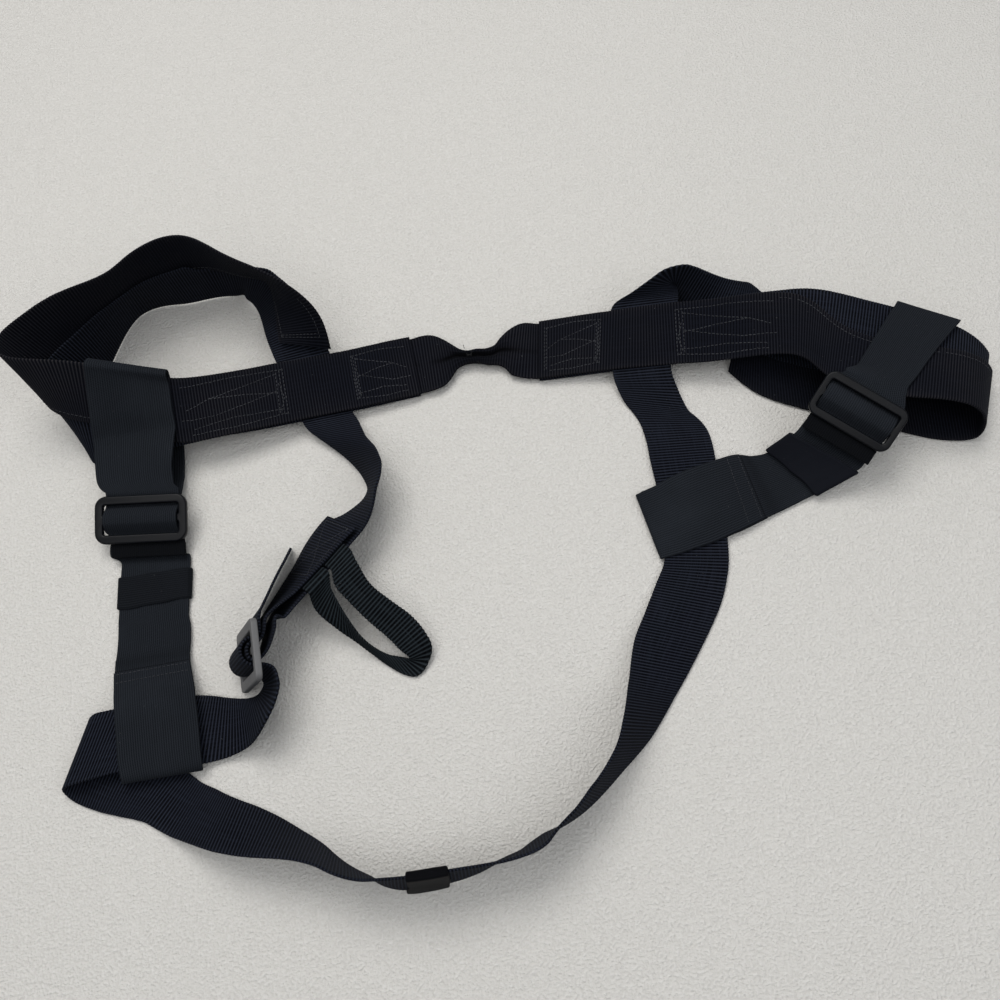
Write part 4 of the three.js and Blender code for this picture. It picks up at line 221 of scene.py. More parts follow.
RIGHT_FRONT = stations("""
35.1 165.3 12 27.8 117.1 7, 44.2 164.7 13.1 36.6 116.6 7.6,
53.3 164.1 14.2 45.3 116.2 8.2, 62.4 163.4 15.4 54 115.6 8.9,
71.5 162.6 16.8 62.6 114.9 9.8, 80.5 161.6 18.3 71.2 114 10.9,
89.3 160.5 19.9 80 113.1 12, 98 159.5 21.6 88.9 112.1 13,
106.6 158.5 23.3 97.9 111.1 14.1, 114.9 157.4 25.2 107.1 110 15.2,
123 156.2 27.1 116.5 108.8 16.4, 131.3 154.9 29 125.7 107.6 17.5,
140 153.5 30.5 134.6 106.3 18.6, 149.1 152.1 31.8 143.1 105.1 19.6,
158.4 150.7 32.9 151.4 103.8 20.5, 167.6 149.4 34.1 159.7 102.7 21.6,
176.6 148.3 35.6 168.3 101.7 23, 185.4 147.3 37.3 177 100.7 24.7,
193.9 146.3 39 185.9 99.7 26.4, 202.3 145.2 40.6 195 98.3 28.3,
210.7 143.6 42 203.8 96.5 30.3, 219.7 141.3 43 211.8 94.1 32.5,
228.9 137.6 43.5 218.8 90.5 35, 237.2 131.4 43.6 224.5 84.5 37.6,
243.9 122.4 43.5 228.8 75.9 40.3, 249.8 113 43.6 233 67 42.7,
256.1 105.1 43.7 238.4 59.4 44.5, 263.2 98.9 43.5 245.1 53.5 45.8,
270.9 94 43.1 252.6 48.7 46.8, 279 90.2 42.6 260.7 45 47.6,
287.4 87 41.9 268.9 42 48.1, 296 84.3 41.2 277.2 39.6 48.1,
304.8 82 40.4 285.7 37.6 48, 313.7 80 39.4 294.2 35.7 47.6,
322.6 78 38.3 302.9 33.9 46.9, 331.4 76 36.9 311.7 32 45.9,
340 73.7 35 320.4 29.8 44.3, 348.2 71.1 32.3 328.5 27.3 41.7,
355.6 68.4 28.2 335.6 24.5 37, 361.5 65.6 22.5 340.9 21.8 30.1,
365.2 63.2 15.7 344.3 19.3 21.2, 364 62.7 9.7 345.4 17.4 12,
356.5 63.6 6.6 344 16.2 6, 347.1 64.3 5.5 339.6 16 3.3,
338.2 65.3 4.9 332.4 16.8 2.1, 329.5 67 4.8 323.9 18.5 1.6,
320.8 69.5 5.1 315.6 20.9 1.5, 312.3 72.4 5.7 307.7 23.8 1.6,
304 75.8 6.1 299.9 27.2 1.6, 295.7 79.4 6.5 292.2 30.8 1.6,
287.4 83 6.9 284.5 34.4 1.6, 279.1 86.6 7.2 276.6 37.9 1.6,
270.8 90 7.5 268.7 41.4 1.6, 262.5 93.5 7.9 260.7 44.9 1.6,
254.3 97.1 8.3 252.5 48.6 1.6, 246.1 100.7 8.8 244.3 52.3 1.6,
238 104.5 9.4 235.9 56.2 1.6, 229.9 108.2 10.2 227.3 60.1 1.6,
221.9 112.1 11.1 218.5 64.1 1.6, 214.2 116.3 12.3 209.4 68.7 1.6,
207.2 121.3 14 200.2 74.4 1.6, 200.8 127.2 16 191.5 81.3 1.6,
195.5 134.6 18.5 183.5 90.3 1.6, 191.6 143.2 22.6 175.2 101.9 1.8
""")
RIGHT_BACK = stations("""
35.6 165.8 6.7 28.4 117.6 1.8, 44.7 165.2 7.8 37.1 117.1 2.3,
53.9 164.7 8.9 45.9 116.7 3, 63 164 10.1 54.6 116.2 3.7,
72.1 163.3 11.5 63.3 115.6 4.6, 81.1 162.4 13.1 71.9 114.9 5.7,
90.1 161.5 14.8 80.7 114.1 6.8, 98.8 160.7 16.5 89.7 113.3 7.9,
107.4 159.8 18.2 98.7 112.5 9, 115.8 158.9 20.1 108 111.6 10.1,
124 158 22.2 117.4 110.7 11.4, 132.3 157.1 24.1 126.7 109.8 12.7,
141 156 25.8 135.6 108.8 13.8, 150.1 154.7 27.4 144.1 107.6 15.2,
159.3 153.3 29.1 152.3 106.4 16.8, 168.5 151.9 31.1 160.6 105.2 18.6,
177.4 150.7 33 169.1 104.1 20.4, 186.2 149.6 34.7 177.8 103 22.1,
194.8 148.5 36.4 186.8 101.8 23.8, 203.1 147.2 38 195.9 100.4 25.7,
211.7 146 39.5 204.8 98.9 27.8, 220.9 144.8 40.7 213 97.6 30.2,
230.7 143.6 41.5 220.6 96.4 33, 240.7 141.6 41.8 227.9 94.7 35.9,
250.4 138.7 41.5 235.2 92.3 38.6, 259.7 135.2 40.8 242.7 89.3 40.2,
268.4 131.6 39.9 250.5 85.9 41, 276.9 128.1 38.7 258.7 82.7 41.2,
285.4 125 37.1 267.1 79.8 41.1, 293.9 122.1 35.5 275.5 77 40.8,
302.4 118.9 34.1 283.8 74 40.4, 310.9 115.5 32.9 292 70.8 40,
319.3 111.9 31.8 300.1 67.5 39.5, 327.6 108.2 30.8 308.2 64 39,
335.8 104.2 29.7 316.1 60.2 38.4, 343.5 99.7 28.5 323.9 55.8 37.5,
350.8 94.7 26.9 331.2 50.8 36.2, 357.6 89.1 24.5 337.7 45.3 33.8,
363.5 83.6 20.8 343.2 39.7 29.2, 368 78.8 15.3 347 35 22,
366.4 79.9 9.9 349.1 34.1 11.4, 357.9 88 9.7 347.3 40.2 8.4,
349.5 94.4 9.8 342.5 45.9 7.5, 340.8 98.5 9.9 335.1 49.9 7.1,
332.1 100.9 10.1 326.5 52.4 6.9, 323.4 103.7 10.9 318.2 55.1 7.2,
314.7 106.9 11.7 310.1 58.3 7.6, 306.1 110.3 12.5 302.1 61.7 7.9,
297.5 113.8 13.1 294.1 65.2 8.2, 289 117.3 13.7 286.1 68.7 8.4,
280.5 120.8 14.2 278 72.2 8.6, 272 124.2 14.8 269.9 75.6 8.9,
263.6 127.7 15.4 261.7 79.1 9.1, 255.3 131.1 16.1 253.5 82.6 9.4,
247.1 134.6 17 245.2 86.2 9.8, 239 138.1 18.1 236.8 89.8 10.2,
231.1 141.6 19.3 228.4 93.4 10.7, 223.3 145.1 20.9 219.7 97.2 11.3,
216.2 148.8 23.1 211 101.3 12.1, 210 152.9 26.2 202.3 106.3 13.1,
204.4 157.5 29.6 193.9 112.2 14.1, 199.1 159.8 33.8 183.7 117.8 13.9,
193.2 159.5 37.3 173.9 124.4 10.9, 186.4 160.9 38.7 165.3 131.9 8,
179.4 163 40.3 158.6 140.8 6.1, 171.9 164.5 43.8 153.4 150.4 6.2,
164.2 166.5 47.8 149.5 159.9 8.6, 156.9 169.4 50.5 146.7 168 12.6,
148.2 172.1 51.6 145.3 173.4 17.1, 134.2 172.3 48.4 145.2 174.7 21.2,
121.3 170 39.5 145.6 172.1 24.3, 108.8 168.1 29.9 145.7 167 26.2,
95.9 166.4 21 144.9 160.8 27, 90.9 159.6 17.1 143.3 153.5 26.4,
90.3 150.7 16.1 140.9 145.5 24.8, 89.1 142 14.7 137.9 136.9 22.7,
88 133.3 13.3 134.4 128.2 20.4, 86.9 124.6 11.9 130.9 119.4 18.3,
85.6 115.8 10.5 129.8 110.7 16.2, 85.2 107.6 8.8 129.6 101.6 13.6,
86.5 101.1 6.3 131.9 91.6 9.8, 88.4 94.6 3.9 134.7 81.9 6.1,
91.2 87.2 2 138.1 73.2 3.2, 96.1 77.9 1.5 142.7 67.3 2,
99.5 68 1.7 146.6 60.9 1.8, 100.7 58 2.3 149 53.3 2.3,
101 48.6 2.8 149.9 44.8 2.7, 100.7 39.6 3.1 149.8 35.8 3.1,
100.8 30.1 3.3 149.3 27.3 3.3, 101.1 20.3 3.3 148.5 19.1 3.3,
101.2 11.1 3.3 147.6 10.4 3.3, 101.1 2.4 3.3 146.8 1.2 3.3,
100.9 -6.1 3.3 146.1 -8.3 3.3, 100.5 -14.3 3.3 145.6 -18.1 3.3,
99.7 -22.3 3.3 145.1 -28 3.3, 98.6 -30.7 3.3 144.2 -37.5 3.3,
97.1 -39.3 3.2 142.9 -46.7 3.2, 94.5 -47 3.1 140.5 -56.2 2.8,
90.5 -53.5 2.9 137 -66 2, 86.2 -60.2 3.1 132.8 -75.2 1.5,
81.9 -67.5 4 128.2 -83.4 1.4, 77.4 -75.1 5.2 123.2 -91.1 1.5,
72.9 -82.8 6.5 118.1 -98.5 1.5, 68.1 -90.6 7.8 112.9 -105.7 1.5,
63.7 -98.6 9.5 107.6 -112.7 1.5, 60.2 -107 11.3 102.1 -119.8 1.5,
57.3 -115.7 13.3 96.5 -126.8 1.5, 54.6 -124.4 16.9 90.9 -133.6 1.5,
51.6 -132.8 23.7 85.8 -139.7 1.5, 48.8 -141.1 31.9 81 -145.4 1.5,
45.8 -149.5 39.3 75.9 -151.3 1.5, 42.5 -158.1 42.9 70.1 -157.8 1.5,
39.1 -166.6 43.9 64 -164.5 1.5, 34.9 -174.2 45.1 57.1 -170.9 1.5,
29.9 -181 46.3 49.6 -177.1 1.5, 24.8 -187.1 47.3 41.7 -183.3 1.5,
19.7 -192.5 48.4 33.5 -190 1.5, 14.5 -197.2 49.3 25 -196.8 1.5,
9.1 -202.7 49.9 16.5 -202.9 1.5, 3.2 -208.2 50.3 8 -208.1 1.5,
-3.6 -213.3 50.4 -0.6 -212.2 1.5, -10.5 -218.9 50.3 -9.4 -215.4 1.5,
-17.4 -225.3 49.9 -18.3 -217.8 1.5, -25.2 -228.9 49.9 -26.8 -221.7 1.5,
-33.6 -230.7 50.3 -35.2 -226.1 1.5, -42.2 -231.9 50.4 -44.2 -228.7 1.5,
-50.8 -232.5 50.4 -53.3 -231.4 1.5, -59.3 -232.7 50.3 -62.4 -234.7 1.4,
-67.9 -232.8 50.7 -71.5 -237 2, -76.6 -232.9 51.2 -80.7 -238.5 2.7,
-85.3 -233.1 51.2 -90 -239.3 2.8, -94 -233.3 51.1 -99.4 -239.6 2.8,
-102.7 -233.3 51.1 -108.6 -239.7 2.8, -111.2 -233 51 -118 -238.4 2.7,
-119.5 -232.5 50.6 -127.2 -234.9 2.3, -127.5 -232 49.6 -135.9 -229 1.5,
-134.9 -231.1 48.7 -145.2 -223.3 1.5, -143.6 -228.5 48.5 -152.5 -217.8 1.5,
-152.4 -224.5 48.5 -158.7 -212 1.5, -160.5 -219.6 48.3 -164.8 -205.6 1.5,
-168.6 -216.1 47.5 -171.8 -199.6 1.5, -176.9 -213.5 46.3 -179.4 -193.9 1.5,
-186.1 -211.4 44.8 -186.6 -188.5 1.5, -195.6 -209.7 42.9 -193.6 -183.5 1.5,
-204.4 -208 40.1 -201.2 -178.6 1.5, -213.1 -206.1 37 -209.1 -174 1.5,
-221.9 -203.7 35.3 -217 -170 1.5, -231.1 -200.8 31.8 -224.1 -166.3 1.5,
-240.6 -197.2 25 -229.8 -163 1.5, -250.1 -193.4 17.4 -235 -159.7 1.5,
-259.4 -189.5 10.8 -240.7 -156.3 1.5, -268.6 -185.3 5 -246.5 -152.7 1.5,
-277.7 -179.7 2.2 -251.9 -148 1.5, -286.1 -174.2 1.5 -258 -142.9 1.5,
-293.6 -171.1 1.3 -266.5 -137.9 1.5, -300.7 -168.8 1.5 -275.8 -132.9 1.5,
-308 -166.3 1.5 -284.9 -127.8 1.5, -315.2 -163.9 1.5 -294 -122.7 1.5,
-322.3 -160.8 1.4 -302.7 -117.2 1.5, -329.4 -157.3 1.3 -311.1 -111.5 1.4,
-336.6 -152.6 1.7 -318.5 -105.7 1.6, -340.8 -146.7 6.2 -323.6 -100 4.7,
-335.8 -144.5 13.1 -318.1 -96.9 10, -326.7 -143.2 14 -309.5 -96 11,
-318.3 -141.9 13.6 -300.1 -95.3 10.5, -310 -140.7 12.8 -290.6 -94.8 9.9,
-301.3 -139.7 12 -281.4 -94.6 10, -292.1 -139.5 11.6 -272.6 -94.5 9.8,
-282.6 -139.8 11 -264.1 -94.4 9.5, -273.1 -140.5 10.2 -255.7 -94 9,
-263.3 -141.3 9.1 -247.6 -93.8 8.1, -252.7 -141.6 7.4 -240.6 -94.4 6.6,
-241.7 -141.2 5.8 -233.9 -95.5 4.7, -231 -139.9 4.6 -227 -97.3 2.9,
-219.3 -137.7 8 -220.9 -98.5 1.9, -208.3 -134.9 16 -215.9 -99.2 1.6,
-199.6 -131.9 28.5 -212 -99.6 1.6, -191.1 -125.5 38.7 -207.5 -99.3 1.6,
-183.4 -114.5 42.8 -203.7 -97.3 1.6, -179.1 -102.3 44.6 -200.8 -93.2 1.6,
-179.4 -98.6 45.4 -200.4 -92 2.2, -179.9 -94.9 46.2 -200.1 -90.7 2.8,
-180.8 -92.2 46.9 -200.8 -88.7 3.5, -182.2 -90.4 47.7 -202.3 -86.7 4.3,
-184.2 -89.2 48.7 -204.3 -85.5 5.3, -186.5 -88.5 49.8 -206.6 -84.8 6.4,
-188.8 -88.3 50.9 -208.9 -84.6 7.5, -191.1 -88.4 52 -211.2 -84.7 8.6,
-193.5 -88.5 53.1 -213.6 -84.8 9.6, -195.7 -88 54.2 -215.9 -84.3 10.7,
-197.7 -86.7 55.2 -217.8 -83 11.8, -199.2 -84.8 56 -219.3 -81.1 12.6,
-200.2 -82.5 56.7 -220.3 -78.8 13.3, -200.6 -80 57.1 -220.7 -76.3 13.7,
-200.4 -77.5 57.2 -220.5 -73.8 13.8, -199.5 -75 57 -219.6 -71.3 13.6,
-198.2 -72.9 56.6 -218.3 -69.2 13.1, -196.3 -71.3 55.8 -216.4 -67.6 12.4,
-194 -70.5 54.9 -214.1 -66.8 11.4, -191.7 -70.2 53.8 -211.8 -66.5 10.4,
-189.6 -68.9 53 -209.7 -65.2 9.5, -188.5 -66.7 52.6 -208.6 -63 9.2,
-188.2 -64.2 52.7 -208.3 -60.5 9.3, -188.2 -61.6 52.9 -208.3 -57.9 9.5,
-188.3 -59 53.2 -208.4 -55.3 9.8, -187.9 -56.3 53.4 -208.2 -52.9 10,
-187.4 -53.9 53.3 -207.7 -50.3 9.9, -187.4 -52.3 52.4 -206.5 -47.3 8.8,
-187.5 -51.4 51.2 -205 -44.2 7.2, -187.7 -50.6 49.8 -203.4 -41.2 5.5,
-187.9 -49.9 48.4 -201.8 -38.1 3.7
""")
# Carries on from the end of RIGHT_BACK.
TAIL = stations("""
-188.1 -49 47 -200.2 -35 2, -183.6 -40.9 47 -195.4 -26.3 2,
-179.3 -32.8 47 -190.8 -17.6 2, -174.7 -24.7 47 -185.9 -9 2,
-169.9 -16.8 47 -180.7 -0.5 2, -165.3 -8.8 47 -175.9 8.1 2
""")
LEFT_ELASTIC = stations("""
-308.9 18.5 7.1 -253.1 12.7 7.1, -308.9 28 9.6 -253.1 22.3 9.6,
-310.1 35.6 12.1 -254.4 29.9 12.1, -311.5 36.9 13.4 -255.7 31.1 13.4,
-311.1 41 20.2 -255.3 35.3 20.2, -310.9 42.6 21.1 -255.1 36.8 21.1,
-310.6 46 22 -254.8 40.3 22, -310.4 47.8 21.8 -254.6 42.1 21.8,
-310.1 50.2 20.7 -254.4 44.5 20.7, -309.7 54.9 18.1 -253.9 49.2 18.1,
-309.5 56.7 18 -253.7 51 18, -308.8 62.7 19.9 -253.1 56.9 19.9,
-308.4 65 21.2 -252.7 59.3 21.1, -308.6 65.9 21.4 -252.9 60.1 21.4,
-309.9 66.7 21.3 -252.6 60.7 21.6, -314.4 72.4 20 -255.9 64.7 22.6,
-316 77.5 20.1 -256.2 68.2 23.8, -316.7 88.6 21.4 -256 76.5 26.9,
-317 97.6 22.8 -254.5 86.8 29.7, -316.8 104.9 24.7 -252.2 98.7 32.2,
-316.7 109.6 27.3 -250.4 105.4 34.3, -315.7 113.1 31.2 -250.1 108.7 36.1,
-312.9 120.5 41.3 -249.8 114.6 40.4, -310.3 128 50.8 -249.3 121 44.5,
-307.7 135.5 60.4 -248.8 127.5 48.7, -305.2 142.8 69.7 -248.3 133.7 53.4,
-304.1 145.9 73.5 -248.1 136.4 58.6, -303.9 146.7 73.8 -248.1 137.2 59,
-303.7 147.5 73.9 -248.1 138.2 59, -303.6 148.3 73.8 -248.1 139.1 58.7,
-303.3 149.9 73.1 -248.1 140.7 57.7, -302.9 152 71.5 -248.2 142.3 55.5,
-302.8 153.1 70.1 -248.4 142.8 53.7, -302.8 153.8 68.5 -248.5 142.4 51.7,
-303.1 153.4 66.8 -248.7 141.6 50, -304.4 149.5 61.7 -248.9 138.2 45,
-306.9 142.3 52.9 -249.4 132.1 39.5, -309.4 134.4 43.4 -249.9 125.5 35.8,
-311 129.4 37.6 -250.1 121.2 33.3, -311.8 128 34.6 -250.3 119.9 31.8,
-312.7 127.5 31.3 -250.5 119.4 29.9, -315.7 128.8 19.3 -251.4 119.6 22.6,
-317.1 128.9 14 -251.8 119.2 19.1, -317.7 128.4 12 -251.9 118.5 17.7,
-318.2 127.6 10.3 -252.1 117.5 16.5, -319 125.7 8.3 -252.2 115.5 14.9,
-320.4 121.2 5.6 -252.5 110.7 12.3, -322.1 112 2.9 -252.9 101.2 8.9,
-323.1 102.8 1 -253.4 91.2 6.4, -322.9 94.1 0.87 -253.9 82 5.3,
-321.6 88.6 1.7 -254 76.8 5.7, -318.9 83.2 4 -254 72.5 7.2,
-312.9 73.7 9.5 -253.7 65.8 11, -308.9 66.5 13 -253.7 60.4 13.3,
-308 63.6 13.6 -253.8 58.1 13.6, -307.5 59.9 13.5 -254.1 54.7 13.3,
-308.2 53.1 11.5 -255.1 47.8 11.3, -309.5 43.8 8.6 -256.3 38.3 8.6,
-310.5 34.2 6.4 -257.3 28.7 6.4, -312.3 25 3.7 -259 19.2 3.7,
-312.2 22.3 3 -259 16.6 3, -312 21.4 2.8 -258.7 15.9 2.8,
-311.4 20.5 2.7 -258.2 15.3 2.7, -310.6 19.9 2.6 -257.5 15.1 2.6,
-308.8 19 2.6 -255.8 15.2 2.6, -305.2 17.1 2.7 -252.5 15.1 2.7,
-304.5 16.3 2.8 -251.9 14.7 2.8, -304.1 15.4 2.7 -251.5 14 2.7,
-303.6 13.5 2.7 -251.1 12.4 2.7, -303.8 8 2.7 -251.4 7.1 2.7,
-304.2 -2 2.8 -251.9 -2.6 2.8, -304.5 -12 2.8 -252.4 -12.3 2.8,
-304.9 -22.1 2.8 -252.9 -22.1 2.8, -305.3 -32.1 2.8 -253.4 -31.8 2.8,
-305.4 -42.9 2.9 -251.9 -40.7 2.9, -306 -52.9 3.2 -251.8 -50.5 3.3,
-306.9 -62.3 3.9 -252.5 -60.7 4.1, -306.6 -72.2 5.9 -251.3 -70.2 5.9,
-305.4 -81.8 9.1 -249.1 -79.1 8.6, -303.5 -90.5 13.6 -246.8 -87.9 12.4,
-302.3 -96.3 15.9 -245.6 -93.7 14.4, -301.6 -103.6 16.6 -244.7 -100.6 15,
-301.1 -113.8 16 -243.9 -110.1 14.6, -300.4 -123.6 15.9 -243.2 -120.1 14.2,
-299.7 -133.1 15.6 -242.8 -130.3 13.6, -298.4 -142.4 14.8 -242.3 -140.6 12.3,
-298.2 -144.8 13.7 -242.4 -143 11.1, -298.3 -146.1 12.5 -242.7 -144.3 9.8,
-298.4 -146.6 11.8 -242.9 -144.7 9, -298.7 -146.9 11 -243.1 -145 8.1,
-299.3 -146.8 9.4 -243.7 -144.9 6.4, -299.6 -146.6 8.6 -244 -144.6 5.6,
-300 -146.1 8 -244.3 -144.1 4.9, -300.7 -144.6 7.2 -245 -142.7 4,
-301.9 -141.4 6.2 -246 -139.4 3, -303 -136.2 5.7 -246.8 -134 2.8,
-304.4 -126.6 5.6 -247.6 -123.9 3.3, -305.3 -117.3 5.6 -248.2 -113.6 3.3,
-306.1 -107.6 5.7 -248.8 -103.5 3.3, -306.6 -97.5 5.8 -249.4 -93.8 3.3,
-307.5 -87.5 4.7 -250.5 -84.2 2.8, -308.3 -77.4 2.7 -252.1 -74.8 2,
-308.3 -67 1.2 -253.4 -65.7 1.2, -308 -58.7 1.2 -253.5 -57.8 1.2
""")
RIGHT_ELASTIC = stations("""
209.1 33.6 33.3 249.5 -2.03 28.4, 215.3 40.1 37.4 255.7 4.5 32.5,
220.3 45.3 41 260.7 9.7 36.1, 221.1 46 42.5 261.5 10.4 37.6,
223.6 47.8 49.9 264 12.2 45, 224.6 48.7 51 265 13.1 46.2,
226.8 51.1 52.5 267.2 15.5 47.6, 228 52.5 52.5 268.4 16.9 47.6,
229.7 54.5 51.9 270.1 18.9 47, 232.9 58.4 50.1 273.3 22.8 45.2,
234.1 59.7 50.3 274.5 24.1 45.4, 239.8 62.1 52.7 278.4 28.5 48.1,
243.5 62.6 53.9 280.9 37.2 50.8, 243.8 63.8 53.9 282.2 39.5 51.2,
245 65.1 53.2 283.6 42.7 51, 251.5 67.4 49.5 292.2 50.8 48.9,
255.5 69.3 48 296.6 55 47.8, 261.9 76.2 47.6 303.9 62.2 46.1,
268.3 83.5 47 311.1 69.1 44.3, 274.9 90.8 46.1 318.3 75.8 42.4,
281.5 98.2 44.9 325.5 82.2 40.5, 288.2 105.7 43.5 332.6 88.5 38.4,
295.1 113.3 42 339.7 94.4 36.3, 301.4 120.2 40.4 346.1 99.6 34.2,
301.9 120.8 39.8 346.6 100.1 33.7, 302.5 121.5 38.2 347.2 100.7 32.3,
302.8 121.9 36.4 347.4 101 30.6, 302.8 121.8 34.9 347 100.9 28.5,
302.4 121.4 33.5 346.3 100.5 26.7, 301.6 120.6 31.9 345.2 99.8 25.5,
300.5 119.4 31 344 98.8 25, 299.3 118 30.7 342.7 97.7 24.9,
292.2 110.3 32.1 335.8 91.7 26.8, 285.4 102.7 33.3 328.8 85.5 28.6,
278.6 95.2 34.4 321.7 79.1 30.4, 272 87.9 35.3 314.6 72.4 32.1,
265.5 80.7 35.9 307.4 65.5 33.7, 259.2 73.7 36.3 300 58.4 35.2,
253 66.4 36.2 292.7 51.3 36.8, 246.7 60 36.2 285.2 43.6 38.1,
243.1 60.7 38.4 281.7 37.9 38.1, 238.3 63.2 41.6 277.4 30.1 37.5,
236.2 62.7 41.9 275.4 27.2 36.9, 232.6 59 40.4 271.9 23.3 35.3,
226.4 51.4 37.3 265.6 16.8 32.6, 219.9 44.6 34.3 259.1 10.1 29.6,
213.3 38.6 29.6 252.8 4.2 25.1, 206.8 33.4 24.2 246 -0.9 20.1,
203.2 32.5 20.4 239.5 -2.7 16.9, 197.6 31 14.5 229.3 -5.6 12,
192 29.6 8.5 219.1 -8.4 7, 188.4 28.7 4.7 212.7 -10.3 3.8,
182.6 28.2 3 201.3 -14.1 2.7, 175.8 28.5 2.6 188.7 -18.3 2.7,
168.6 30.1 3.5 176.4 -22.3 3.6, 160.2 30 4.5 165.5 -26.1 4.5,
150.7 28.2 5.4 155.9 -29.4 5.4, 140.7 26.6 5.6 146.6 -32.1 5.6,
131 24.7 5.6 137 -34.8 5.6, 121 22.1 5.6 127.9 -36.9 5.6,
110.6 18.7 5.6 119.2 -38.5 5.6, 100.8 14.7 5.6 110.1 -40.5 5.6,
90.8 11.8 5.6 100.7 -41.7 5.6, 86.1 10.4 4.8 95 -42.4 4.8,
85.6 10.5 4.1 94.5 -42.3 4.1, 85.5 10.7 3.2 94.3 -42.2 3.2,
85.6 11.1 2.4 94.5 -42 2.4, 86.1 11.4 1.7 95.1 -41.8 1.7,
86.8 11.7 1.4 96 -41.6 1.4, 91.7 13.2 0.9 101.6 -40.7 0.9,
101.6 15.9 1 111.1 -39.6 1, 111.6 19.8 1 120 -37.7 1,
121.9 23.2 1 128.8 -36.1 1, 132 25.9 1 138 -34.1 1,
141.6 27.8 1 147.6 -31.3 1, 151.7 29.5 1 156.9 -28.8 1,
161.2 30.6 1 166.7 -25.6 1, 169.5 30.6 1 177.8 -21.7 1
""")
PULL_TAB = stations("""
-137 -0.7 25.4 -150.9 -16.8 27.6, -134.4 -3.2 28.9 -148.4 -18.9 31.4,
-131.9 -5.5 32.6 -146 -20.9 35.3, -128.8 -8.2 35.1 -142.9 -23.3 38.4,
-125.6 -12.2 36 -140 -26.9 38.9, -123.6 -17.5 37.3 -139.6 -31.4 38,
-121.7 -22.7 38.1 -139.1 -35.9 36.5, -119.7 -27.4 37.3 -137.3 -40 34.9,
-117.9 -31.7 35.3 -134.6 -43.8 32.9, -115.9 -35.7 33 -131.6 -47.5 31,
-113.3 -39.3 31.1 -128.7 -51.3 29.1, -110.3 -42.6 29.3 -125.6 -55.2 27.3,
-107 -45.6 27.6 -122.5 -59.1 25.6, -103.6 -48.7 25.9 -119.3 -62.7 23.9,
-100 -51.9 24 -116.2 -66 22, -96.2 -55.1 22.2 -113.1 -69.1 20.2,
-92.4 -58.4 20.4 -110 -72.2 18.4, -89 -62 18.6 -107 -75.5 16.6,
-85.9 -66 17.2 -104.2 -78.9 15.1, -83 -70.5 15.6 -101.6 -82.4 13.6,
-80.5 -75.4 13.8 -98.8 -85.3 11.9, -78.4 -80.7 11.5 -96.2 -87.7 10.1,
-78.8 -86.2 7.2 -95 -89.8 8.1, -82.5 -93.3 3.9 -97 -88.5 5.9,
-87.4 -99.1 2.3 -100.7 -86.5 4.4, -93 -101.4 1.5 -105 -85 4.1,
-98.9 -99.7 1.5 -108.7 -84 5.3, -103.8 -96.9 1.5 -112.5 -82.2 7,
-107.8 -93.6 1.5 -116.5 -79.9 9, -111.9 -90 1.6 -120.1 -77.4 11.3,
-116.1 -86.1 2 -123 -75.1 14.2, -120.1 -82.2 2.7 -125.6 -72.4 17.2,
-123.9 -78.8 4 -128.1 -69 19.7, -127.3 -75.7 6 -130.4 -64.9 22,
-130.9 -72.6 8.2 -132.4 -61 24.2, -134.9 -69.4 10.5 -134.1 -57.2 26.2,
-139.1 -66.2 13.1 -135.7 -53.6 28.1, -143.1 -62.8 15.9 -137.2 -49.9 29.9,
-147 -59.3 18.8 -138.7 -46.2 31.5, -150.8 -55.7 21.8 -140.1 -42.5 33,
-154.1 -52 25.4 -141.3 -38.8 34.4, -155.8 -48.6 30.3 -141.8 -35 36.1,
-156 -45.5 36.1 -141.6 -31.5 37.9, -156 -42.4 41.9 -141.4 -27.9 39.4,
-158.7 -39 42.4 -144.1 -24.2 38.8, -161.4 -37 38.6 -147 -22 35.6,
-163.5 -35.4 34.3 -149.4 -20 31.6, -165.8 -33.8 30.1 -151.9 -18 27.8
""")


# ------------------------------------------------------------------ curves and noise
def unit(v):
    return v / np.maximum(np.linalg.norm(v, axis=-1, keepdims=True), 1e-12)


def interp_points(x, xs, points):
    return np.stack([np.interp(x, xs, column) for column in points.T], -1)


def catmull_rom(points, knots, t):
    """Catmull-Rom spline through the points at the given knots, evaluated at every t."""
    P = np.vstack([2 * points[:1] - points[1:2], points, 2 * points[-1:] - points[-2:-1]])
    K = np.r_[2 * knots[0] - knots[1], knots, 2 * knots[-1] - knots[-2]]
    i = np.clip(np.searchsorted(knots, t, side='right') - 1, 0, len(knots) - 2)
    p0, p1, p2, p3 = (P[i + j] for j in range(4))
    t0, t1, t2, t3 = (K[i + j][:, None] for j in range(4))
    t = t[:, None]
    a1 = (t1 - t) / (t1 - t0) * p0 + (t - t0) / (t1 - t0) * p1
    a2 = (t2 - t) / (t2 - t1) * p1 + (t - t1) / (t2 - t1) * p2
    a3 = (t3 - t) / (t3 - t2) * p2 + (t - t2) / (t3 - t2) * p3
    b1 = (t2 - t) / (t2 - t0) * a1 + (t - t0) / (t2 - t0) * a2
    b2 = (t3 - t) / (t3 - t1) * a2 + (t - t1) / (t3 - t1) * a3
    return (t2 - t) / (t2 - t1) * b1 + (t - t1) / (t2 - t1) * b2


def smooth_noise(x, seed, scale, octaves=3):
    """Smooth repeatable 1-D noise, about -1..1."""
    rng = np.random.default_rng(seed)
    total = np.zeros_like(x, dtype=float)
    for octave in range(octaves):
        grid = rng.uniform(-1, 1, 4096)
        z = x / scale * 2 ** octave + 100
        i = np.floor(z).astype(int) % 4095
        f = z - np.floor(z)
        f = f * f * (3 - 2 * f)
        total += 0.5 ** octave * (grid[i] * (1 - f) + grid[i + 1] * f)
    return total / 1.75


